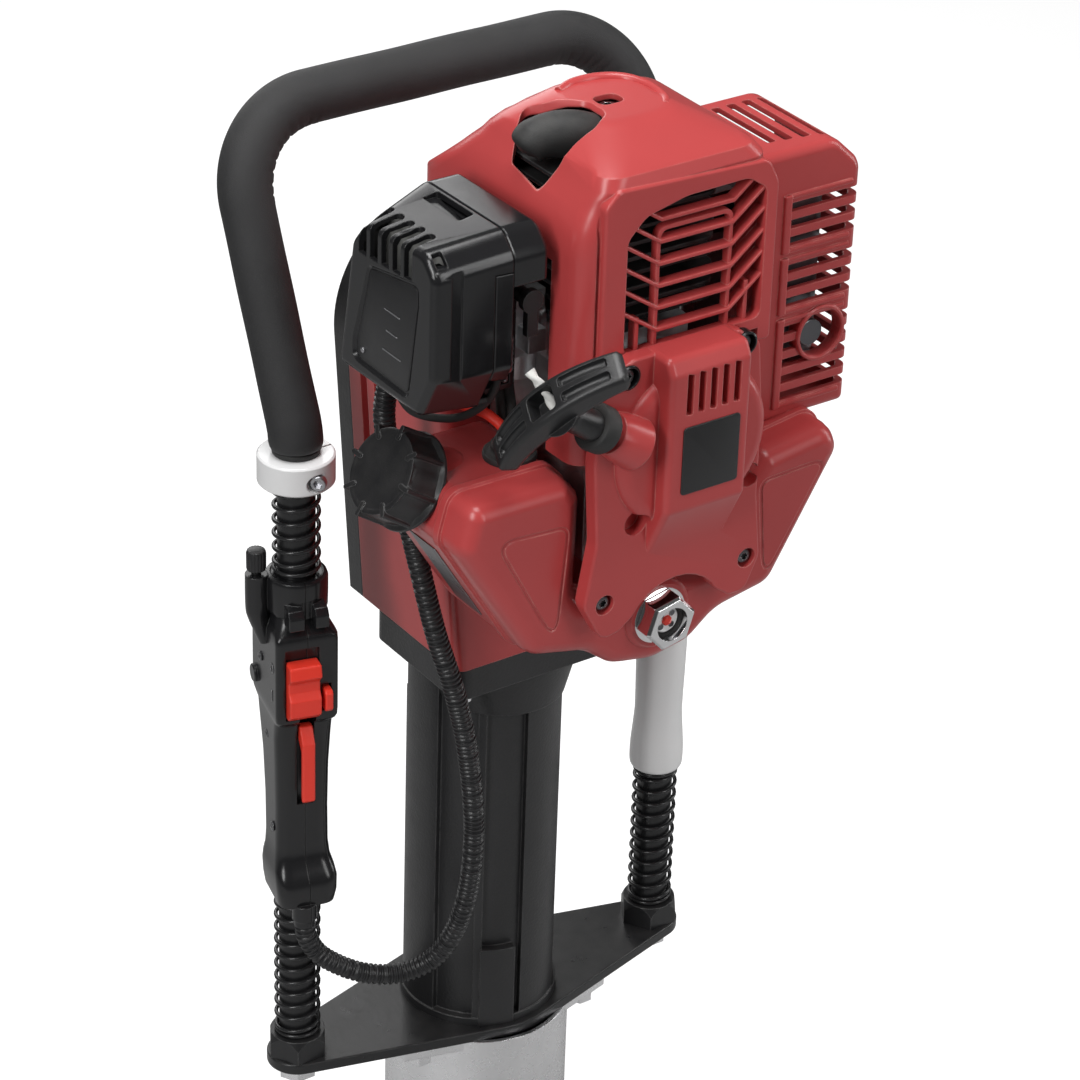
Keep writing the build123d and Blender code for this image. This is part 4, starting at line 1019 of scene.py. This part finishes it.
def pull_handle():
    rings = []
    count = 40
    for i in range(count + 1):
        t = -1 + 2 * i / count
        angle = radians(ARC_HALF) * t
        far = abs(t)
        thick = 15.5 - 4.5 * far ** 1.5
        half = 10.4 - 1.4 * far
        shrink = 0.0
        if far > 0.95:
            shrink = 1.6 * ((far - 0.95) / 0.05) ** 2
        outer = ARC_R - shrink
        inner = ARC_R - thick + shrink
        half -= shrink
        section = round_corners([(-half, inner), (half, inner), (half, outer), (-half, outer)],
            [4.5, 4.5, 2.8, 2.8], 6)
        rings.append([pull_point(r * sin(angle), v, r * cos(angle) - ARC_BACK) for v, r in section])
    bar_piece = loft("pull_handle", rings, sharp=55)
    profile = [(8.6, -17.5), (8.2, -12), (8, -4), (8.6, 0), (10.4, 3), (14, 7)]
    stem = lathe("stem", profile, pull_point(0, 0, 0), PULL_AXIS, 40, wave=oval)
    body = fuse(bar_piece, stem, sharp=40)
    tools = []

    def groove_radius(i, *_):
        return 2.75 if 0 < i < 24 else 1.6

    for side in (-1, 1):
        for off in (-4.3, 4.3):
            points = []
            for k in range(25):
                angle = side * radians(8.6 + 19.0 * k / 24)
                across = off - 0.02 * k * (1 if off > 0 else -1)
                points.append(pull_point(ARC_R * sin(angle), across, ARC_R * cos(angle) - ARC_BACK))
            tools.append(sweep("groove", points, groove_radius, 20, sharp=60))
    hole = [pull_point(u, v, 9) for u, v in round_corners(rectangle(-7.5, 7.5, -6.2, 6.2), [2] * 4, 4)]
    top = [pull_point(u, v, 24) for u, v in round_corners(rectangle(-8.5, 8.5, -7.2, 7.2), [2.5] * 4, 4)]
    tools.append(loft("hole", [hole, top]))
    return cut(body, *tools, sharp=40)


show(pull_handle(), "pull_handle_grip", "black_plastic", "starter_handle", body="pull_handle")
dress(lathe("pull_cuff", [(8.6, 0), (11.2, 0.4), (12, 2), (12.2, 8), (11.6, 9.6), (10.2, 10.4),
    (8.3, 10.5)], pull_point(0, 0, -28.5), PULL_AXIS, 48), "black_rubber")
knot_start = Vector(pull_point(0, 0, 7))
KNOT_WAY = Vector((-0.248, 0.67, 0.70))
knot_path = smooth_path([tuple(knot_start), tuple(knot_start + KNOT_WAY * 9 + Vector((0, 0, 1.2))),
    tuple(knot_start + KNOT_WAY * 22)], 0.6)
dress(sweep("rope_knot", knot_path, lambda i, a, *_: 2.3 + 0.45 * cos(2 * a + i * 0.42), 24, sharp=70),
    "white_cord", body="pull_handle")
rope_path = [tuple(ROPE_EXIT + PULL_AXIS * (-9 + 0.6 * i)) for i in range(72)]
rope = sweep("pull_rope", rope_path, lambda i, a, *_: 1.75 + 0.14 * cos(3 * a + i * 0.55), 24, sharp=70)
stretch(rope, "white_cord", "starter_rope")


# ---- fuel cap, grommet, fuel line ----
CAP_AT = NECK_AT + CAP_AXIS * 0.3


def fuel_cap():
    def flute(a, r, h):
        if r < 20.5 or h < 2.5 or h > 19.5:
            return r
        step = (a / (2 * pi) * 8) % 1.0
        dip = 0.5 - 0.5 * cos(2 * pi * step)
        return r - 1.5 * (1 - (1 - dip) ** 3)

    profile = [(19.5, 0), (25, 0), (25.6, 0.8), (25.4, 2.2), (24.4, 3.2), (23.9, 6), (23.6, 12),
        (23.3, 17.5), (22.9, 19.2), (22, 20.4), (20.6, 20.9), (19.4, 20.6), (18.6, 20.4), (12, 20.5),
        (4, 20.6)]
    body = lathe("fuel_cap", profile, CAP_AT, CAP_AXIS, 160, sharp=38, wave=flute)
    o, x, y, z = frame_at(CAP_AT, CAP_AXIS)
    tabs = []
    for i in range(8):
        a = 2 * pi * i / 8
        out = x * cos(a) + y * sin(a)
        across = -x * sin(a) + y * cos(a)
        ring_low = []
        ring_high = []
        for u, v in round_corners(rectangle(17.5, 25.3, -1.25, 1.25), [1.1] * 4, 3):
            ring_low.append(tuple(o + out * u + across * v + z * 1.5))
            ring_high.append(tuple(o + out * (u - 0.4) + across * v + z * 21.4))
        tabs.append(loft("tab", [ring_low, ring_high]))
    return join("fuel_cap_moulding", body, *tabs)


show(fuel_cap(), "fuel_cap_moulding", "black_plastic", "fuel_cap", body="cap")
dress(lathe("tank_grommet", [(7.6, -4), (13.4, -0.6), (13.7, 0.8), (13.3, 2.4), (10.4, 3), (9.6, 4.2),
    (9.8, 6.4), (8.6, 8), (4.2, 8.4)], (-66, -112, 590.2), UP, 56), "black_rubber", "fuel_lines")
for i, (x, y) in enumerate(((-68.5, -114), (-63.5, -111), (-66, -107.5))):
    dress(lathe(f"grommet_nub_{i + 1}", [(2.2, 0), (2.2, 4.6), (1.5, 5.4)], (x, y, 596.5), UP, 20),
        "black_rubber")
LINES = [  # name, path, finish
    ("feed", [(-68.5, -114, 600), (-70, -112, 606), (-75, -104, 612), (-84, -96, 616), (-92, -90, 622)],
     "bright_red"),
    ("return", [(-63.5, -111, 600), (-62, -108, 608), (-59, -100, 618), (-57, -94, 632)], "black_rubber"),
    ("primer", [(-66, -107.5, 600), (-65, -103, 609), (-62, -96, 622), (-60, -90, 640)], "black_rubber"),
]
for name, points, slot_name in LINES:
    dress(sweep("fuel_line_" + name, smooth_path(points, 1.2), 2.7, 18, sharp=60), slot_name)


# ---- sight glass ----
def sight_glass():
    hexagon = [(15.0 * cos(radians(60 * i + 12)), SIGHT_Z + 15.0 * sin(radians(60 * i + 12)))
        for i in range(6)]
    nut = moulded("nut", hexagon, 1, [(-153.2, 0.8), (-154, 0), (-162.6, 0), (-164.2, 1.2)], xz, 3)
    round_off = lathe("round", [(15.6, 0), (15.6, 10.4), (14.9, 12), (12.6, 14.2)], sight_axis(-152), FRONT,
        72)
    bore = lathe("bore", [(9.2, 0), (9.2, 8), (10.6, 9.4)], sight_axis(-157), FRONT, 56)
    nut = cut(boolean(nut, [round_off], "INTERSECT"), bore)
    show(nut, "sight_glass_nut", "chrome_trim", "sight_glass")
    for name, profile, y, count, slot_name in (  # y is where the profile's height is 0
            ("flange", [(8, -3), (16.2, -2.8), (17, -1.4), (16.6, 0.6), (15.4, 1.6), (8, 1.8)], -151.8, 64,
             "chrome_trim"),
            ("seal", [(8, -1.4), (17.6, -1.2), (18.2, 0), (17.6, 1.2), (8, 1.4)], -149.4, 64, "black_rubber"),
            ("dial", [(7.2, 0), (7.2, 0.8), (6.8, 1.2), (2, 1.2)], -157.6, 48, "white_paint"),
            ("lens", [(2.7, 0), (2.7, 1.6), (2.2, 2.2), (1, 2.5)], -158.2, 28, "bright_red")):
        dress(lathe("sight_glass_" + name, profile, sight_axis(y), FRONT, count), slot_name)
    well = [(7.3, 0), (9.15, 0), (9.15, 2.6), (8.2, 2.6), (7.3, 0.9)]
    dress(turned_ring("sight_glass_well", well, sight_axis(-157.2), FRONT, 48), "black_rubber")
    for i in range(4):
        a = radians(45 + 90 * i)
        hub = Vector((4.6 * cos(a), -158.7, SIGHT_Z + 4.6 * sin(a)))
        dress(lathe(f"sight_glass_window_{i + 1}", [(1.7, 0), (1.7, 0.3), (1.4, 0.5)], hub, FRONT, 24),
            "dark_steel")


sight_glass()


# ---- throttle grip ----
GRIP_X = -SPAN
GRIP_ANGLE = -14  # the whole grip is drawn square and then turned on its leg
before_grip = set(bpy.data.objects)
GRIP_SECTIONS = [  # z, y0, y1, half width, corner
    (287.6, -20.5, 12.5, 14, 8), (289, -23, 14.4, 15.6, 8), (296, -24.4, 14.8, 16.6, 8),
    (304, -23.6, 15, 17, 8), (309, -20, 15.1, 16.4, 8), (314, -16.4, 15.2, 15.2, 8),
    (322, -15, 15.6, 14.6, 8), (345, -14.8, 17, 14.4, 8), (372, -15, 19.4, 14.8, 8),
    (392, -15.4, 21.6, 15.6, 7), (401, -16.2, 22.6, 15.8, 6), (404, -19.2, 24, 16.4, 4),
    (406, -20, 25.4, 16.8, 3.4), (410, -20.2, 26, 17, 3.2), (452, -20.2, 26, 17, 3.2),
    (455.4, -19.9, 25.8, 16.9, 3.6), (457.2, -18.9, 24.8, 16.2, 4), (459.5, -16.2, 22.4, 14.9, 6),
    (464, -13.9, 18, 13.8, 9), (470, -13.3, 14.6, 13.4, 12), (477, -13.4, 14.2, 13.5, 12.5),
]


def grip_solid():
    rings = []
    for z, y0, y1, half, corner in GRIP_SECTIONS:
        ring = rounded_outline(rectangle(GRIP_X - half, GRIP_X + half, y0, y1), corner, 0, 7)
        rings.append([(u, v, z) for u, v in ring])
    return loft("grip", rings, sharp=38)


def grip_half(side):
    body = grip_solid()
    clamp = lathe("clamp", [(13, 463.6), (15.6, 464.6), (16.4, 467), (16.5, 476), (16.5, 483), (15.8, 485),
        (13.8, 485.6), (13.2, 485)], (GRIP_X, 0, 0), UP, 72)
    body = fuse(body, clamp, sharp=38)
    lugs = []
    for x0, x1 in ((-10.6, -2.2), (3.6, 11)):
        lugs.append(moulded("lug", [(-22.4, 461.5), (-22.4, 469), (-19.6, 472.5), (-12, 474), (-12, 461.5)],
            [1.6, 2, 2, 0.5, 0.5], edge_levels(GRIP_X + x0, GRIP_X + x1, 0.8, 2), yz, 4))
    shoulder = sweep("shoulder", smooth_path([(GRIP_X - 16.4, 2, 445), (GRIP_X - 18.6, 2, 454),
        (GRIP_X - 20.6, 2, 464), (GRIP_X - 21, 2, 474), (GRIP_X - 21, 2, 486)], 1.2),
        lambda i, a, *_: 3.4 + 2.6 * min(1, i / 15), 36, sharp=50)
    pivot = lathe("pivot", [(5, 0), (5, 2), (4.4, 2.6)], (GRIP_X - 16.4, 18, 416), LEFT, 36)
    stub = lathe("stub", [(6.8, 0), (6.8, 9.5), (5.8, 10.4), (5.8, 14)], (GRIP_X - 2, -19.5, 290),
        (0, 0, -1), 36)
    body = fuse(body, *lugs, shoulder, pivot, stub, sharp=38)
    tools = [  # the tube's bore, then the rooms of the moving pieces
        lathe("bore", [(10.35, 250), (10.35, 500)], (GRIP_X, 0, 0), UP, 48),
        slab("lockout_room", GRIP_X - 4.6, GRIP_X + 4.6, -40, -10, 350, 408, 1.5, 0),
        slab("trigger_room", GRIP_X - 5.6, GRIP_X + 5.6, 12, 40, 326, 402, 1.5, 0),
        slab("switch_room", GRIP_X - 12.2, GRIP_X + 6.1, -40, -17.4, 407, 449.6, 1.6, 0),
        slab("button_room", GRIP_X + 7.3, GRIP_X + 12.7, -40, -12, 410.4, 426.6, 2.2, 0),
        slab("screw_room", GRIP_X - 2.2, GRIP_X + 3.6, -26, -15.5, 461, 475, 0.5, 0),
    ]
    body = cut(body, *tools, sharp=38)
    far = GRIP_X + side * 60
    near = GRIP_X + side * 0.12
    keep = slab("keep", min(near, far), max(near, far), -60, 60, 250, 520, 0.1, 0)
    return boolean(body, [keep], "INTERSECT", sharp=38)


for side, half_name in ((-1, "outer"), (1, "inner")):
    show(grip_half(side), "grip_half_" + half_name, "gloss_black", "throttle_grip_" + half_name,
        body="left_grip")
for i, (y, z) in enumerate(((8, 432), (-4, 332), (4, 386))):
    screw_at = (GRIP_X - (17.1 if z > 400 else 14.7), y, z)
    torx_screw(f"grip_screw_{i + 1}", screw_at, LEFT, 2.7, 1, "left_grip")
dress(turned_ring("grip_mark_ring", [(2, 0), (2.7, 0), (2.7, 0.25), (2, 0.25)], (GRIP_X - 17.05, -12, 436),
    LEFT, 32), "dark_steel", body="left_grip")
dress(slab("grip_mark_bar", GRIP_X - 17.35, GRIP_X - 16.9, -12.4, -11.6, 416, 422.5, 0.1, 0), "dark_steel",
    body="left_grip")


def pressed(name, points, radius, x0, x1, rim, slot_name, body, node):
    """A moulded finger piece drawn from the side."""
    piece = moulded(name, points, radius, edge_levels(x0, x1, rim, 3), yz, 5)
    even_shading(piece)
    return dress(piece, slot_name, node, body=body)


pressed("switch_slider", [(-17.8, 408.5), (-22.4, 408.5), (-27, 412.6), (-27, 422), (-24.2, 426),
    (-24.2, 431.5), (-28, 435.6), (-26.4, 442.3), (-17.8, 442.3)],
    [0.8, 1.4, 1.4, 1.2, 1.4, 1.4, 1.2, 1.4, 0.8], GRIP_X - 11.7, GRIP_X + 5.6, 1, "bright_red", "switch",
    "stop_switch")
pressed("button_cap", [(-16, 412.2), (-24.6, 412.2), (-26, 414), (-26, 423), (-24.6, 424.8), (-16, 424.8)],
    1.2, GRIP_X + 7.8, GRIP_X + 12.2, 0.9, "bright_red", "button", "lock_button")
pressed("lockout_blade", [(-12, 400), (-17, 400), (-22, 391), (-22, 356), (-20.2, 354), (-18.7, 358),
    (-18.7, 386), (-12, 393)], 1.1, GRIP_X - 3.6, GRIP_X + 3.6, 1, "bright_red", "lockout", "lockout_lever")
pressed("trigger_blade", [(15, 400), (21, 400), (25, 382), (25.5, 350), (22, 334), (19.6, 336), (21, 350),
    (20.6, 376), (15, 390)], [1, 2, 4, 4, 1.1, 1.1, 4, 4, 2], GRIP_X - 5, GRIP_X + 5, 1.6, "black_plastic",
    "trigger", "throttle_trigger")
dress(lathe("knob_cap", [(2.6, -2.3), (2.6, 0), (4.6, 0.1), (5.2, 0.8), (5.25, 10.2), (4.7, 11.6),
    (3.2, 12)], (GRIP_X - 21, 2, 488.5), UP, 144,
    wave=lambda a, r, h: r - (0.32 * (0.5 + 0.5 * cos(18 * a)) if r > 4 else 0)), "black_plastic",
    "adjuster_knob", body="knob")
to_origin = Matrix.Translation((-GRIP_X * MM, 0, 0))
GRIP_TURN = to_origin.inverted() @ Matrix.Rotation(radians(GRIP_ANGLE), 4, "Z") @ to_origin
for grip_piece in set(bpy.data.objects) - before_grip:
    grip_piece.data.transform(GRIP_TURN)


# ---- right grip ----
def eased(stations, step):
    """(radius, height) stations joined by a smooth curve."""
    path = smooth_path([(r, h, 0) for r, h in stations], step)
    return [(p.x, p.y) for p in path]


right_shape = eased([(13.6, 284.3), (14.9, 286), (15.25, 292), (15, 300), (13.8, 316), (13.5, 326),
    (14.1, 358), (14.75, 408), (14.2, 446), (14.3, 466), (15.4, 476), (15.5, 484)], 1.2)
right_profile = [(10.4, 284.3)] + right_shape + [(14.9, 485.8), (10.4, 486)]
dress(turned_ring("right_grip_sleeve", right_profile, (SPAN, 0, 0), UP, 72, sharp=45), "white_paint",
    "right_grip", body="right_handle_grip")


# ---- labels, without any text ----
def flat_plate(name, corners, out, slot_name, thickness=0.35, radius=1.5):
    """A thin blank sticker with rounded corners on four points in space."""
    pts = [Vector(p) for p in corners]
    o = pts[0]
    u = (pts[1] - o).normalized()
    n = Vector(out).normalized()
    v = n.cross(u)
    flat = [((p - o).dot(u), (p - o).dot(v)) for p in pts]
    ring = rounded_outline(flat, radius, 0, 5)
    low = [tuple(o + u * a + v * b - n * 0.1) for a, b in ring]
    high = [tuple(o + u * a + v * b + n * thickness) for a, b in ring]
    return dress(loft(name, [low, high]), slot_name)


flat_plate("blank_label_side", [(-55, 23, 467), (-55, -22, 467), (-55, -22, 446.5), (-55, 23, 446.5)], LEFT,
    "black_plastic")
flat_plate("blank_label_tank", [(-108.5, -112, 549.5), (-108.5, -88, 549.5), (-79.5, -88, 502.8),
    (-79.5, -112, 502.8)], (-0.85, 0, -0.525), "dark_steel")


# ---- small parts round the carburettor ----
dress(moulded("throttle_bracket", [(-127, 640), (-108, 640), (-108, 668), (-116, 676), (-127, 672)],
    [2, 1, 1, 3, 3], edge_levels(-80.5, -78.6, 0.4, 2), yz, 4), "dark_steel")
dress(lathe("cable_barrel", [(2, -9), (2, 0), (3.2, 0.2), (3.2, 4.6), (2.4, 5), (2.4, 11)],
    (-79.5, -121, 652), (-0.35, -0.25, -0.9), 6), "machined_steel")
idle_spring = coil("idle_spring", -74, 640, 662, 2.6, 0)
slim = Matrix.Scale(0.28, 4, (1, 0, 0)) @ Matrix.Scale(0.28, 4, (0, 1, 0))
to_origin = Matrix.Translation((0.074, 0, -0.651))
idle_spring.data.transform(Matrix.Translation((-0.074, -0.118, 0.651)) @ slim @ to_origin)
dress(idle_spring, "machined_steel")
dress(sweep("throttle_cable", smooth_path([(-78, -119, 660), (-81, -123, 646), (-84, -118, 628),
    (-90, -100, 612), (-96, -72, 604), (-96, -54, 610)], 1.5), 2.1, 14), "black_rubber")
dress(moulded("throttle_lever", [(-126, 676), (-112, 668), (-108, 674), (-112, 684), (-122, 682)],
    [2, 1.5, 2, 3, 2], edge_levels(-76.4, -74.8, 0.3, 2), yz, 4), "black_paint")


# ---- collar and deck screws ----
for side_sign in (-1, 1):
    collar_at = (side_sign * SPAN + 10.35 - 7.7, -10.15 - 7.85, 545.7)
    stands_for = ("socket_screws",) if side_sign < 0 else ()
    hex_screw("collar_screw_" + ("left" if side_sign < 0 else "right"), collar_at, (-0.7, -0.714, 0), 4.3,
        3.6, "machined_steel", *stands_for)
for i, (x, y) in enumerate(((-45, -45), (45, -45), (-45, 18), (45, 18))):
    hex_screw(f"deck_screw_{i + 1}", (x, y, 411.8), (0, 0, -1), 5, 5.8, "bright_steel")


# ---- floor, light and camera ----
def floor_material():
    """Bright to the camera, mid grey to every other ray, so dark surfaces stay dark."""
    mat = bpy.data.materials.new("floor")
    mat.use_nodes = True
    tree = mat.node_tree
    shader = tree.nodes["Principled BSDF"]
    shader.inputs["Base Color"].default_value = (0.42, 0.42, 0.42, 1)
    shader.inputs["Roughness"].default_value = 0.75
    shader.inputs["Emission Color"].default_value = (1, 1, 1, 1)
    ray = tree.nodes.new("ShaderNodeLightPath")
    glow = tree.nodes.new("ShaderNodeMath")
    glow.operation = "MULTIPLY"
    glow.inputs[1].default_value = 0.78
    tree.links.new(ray.outputs["Is Camera Ray"], glow.inputs[0])
    tree.links.new(glow.outputs[0], shader.inputs["Emission Strength"])
    return mat


bpy.ops.mesh.primitive_plane_add(size=40, location=(0, 0, -0.0005))
floor = bpy.context.object
floor.name = "floor"
floor.data.materials.append(floor_material())


def area_light(name, at, size, power):
    """A white rectangle of light that faces the middle of the machine."""
    data = bpy.data.lights.new(name, "AREA")
    data.shape = "RECTANGLE"
    data.size, data.size_y = size
    data.energy = power
    light = bpy.data.objects.new(name, data)
    light.location = at
    light.rotation_euler = (Vector(CENTRE) - Vector(at)).to_track_quat("-Z", "Y").to_euler()
    bpy.context.scene.collection.objects.link(light)


CENTRE = (0, -0.04, 0.5)
for name, at, size, power in (  # metres, watts
        ("key", (-1.7, -0.7, 1.7), (0.5, 1.7), 26), ("front", (0.6, -2.0, 1.5), (0.45, 1.6), 12),
        ("right", (1.7, -0.5, 1.0), (0.3, 1.7), 9), ("top", (-0.1, 0.0, 2.3), (1.1, 0.8), 24),
        ("back", (0.3, 1.8, 1.3), (1.6, 1.0), 12)):
    area_light(name, at, size, power)

world = bpy.data.worlds.new("studio")
world.use_nodes = True
sky = world.node_tree.nodes["Background"]
sky.inputs["Color"].default_value = (1, 1, 1, 1)
sky.inputs["Strength"].default_value = 0.10
bpy.context.scene.world = world
bpy.context.scene.view_settings.view_transform = "Standard"

camera_data = bpy.data.cameras.new("camera")
camera_data.lens = 130.0
camera_data.sensor_width = 36.0
camera_data.clip_end = 50
camera = bpy.data.objects.new("camera", camera_data)
bpy.context.scene.collection.objects.link(camera)
AZIMUTH = radians(-35.4)
ELEVATION = radians(29.9)
ROLL = radians(1.93)
CAMERA_AT = (-1.02372, -1.48782, 1.50664)
back = Vector((sin(AZIMUTH) * cos(ELEVATION), -cos(AZIMUTH) * cos(ELEVATION), sin(ELEVATION)))
right = Vector((cos(AZIMUTH), sin(AZIMUTH), 0))
turned = Matrix.Rotation(ROLL, 3, back)
axes = (turned @ right, turned @ back.cross(right), back)
camera.matrix_world = Matrix([(*row, at) for row, at in zip(zip(*axes), CAMERA_AT)] + [(0, 0, 0, 1)])
bpy.context.scene.camera = camera
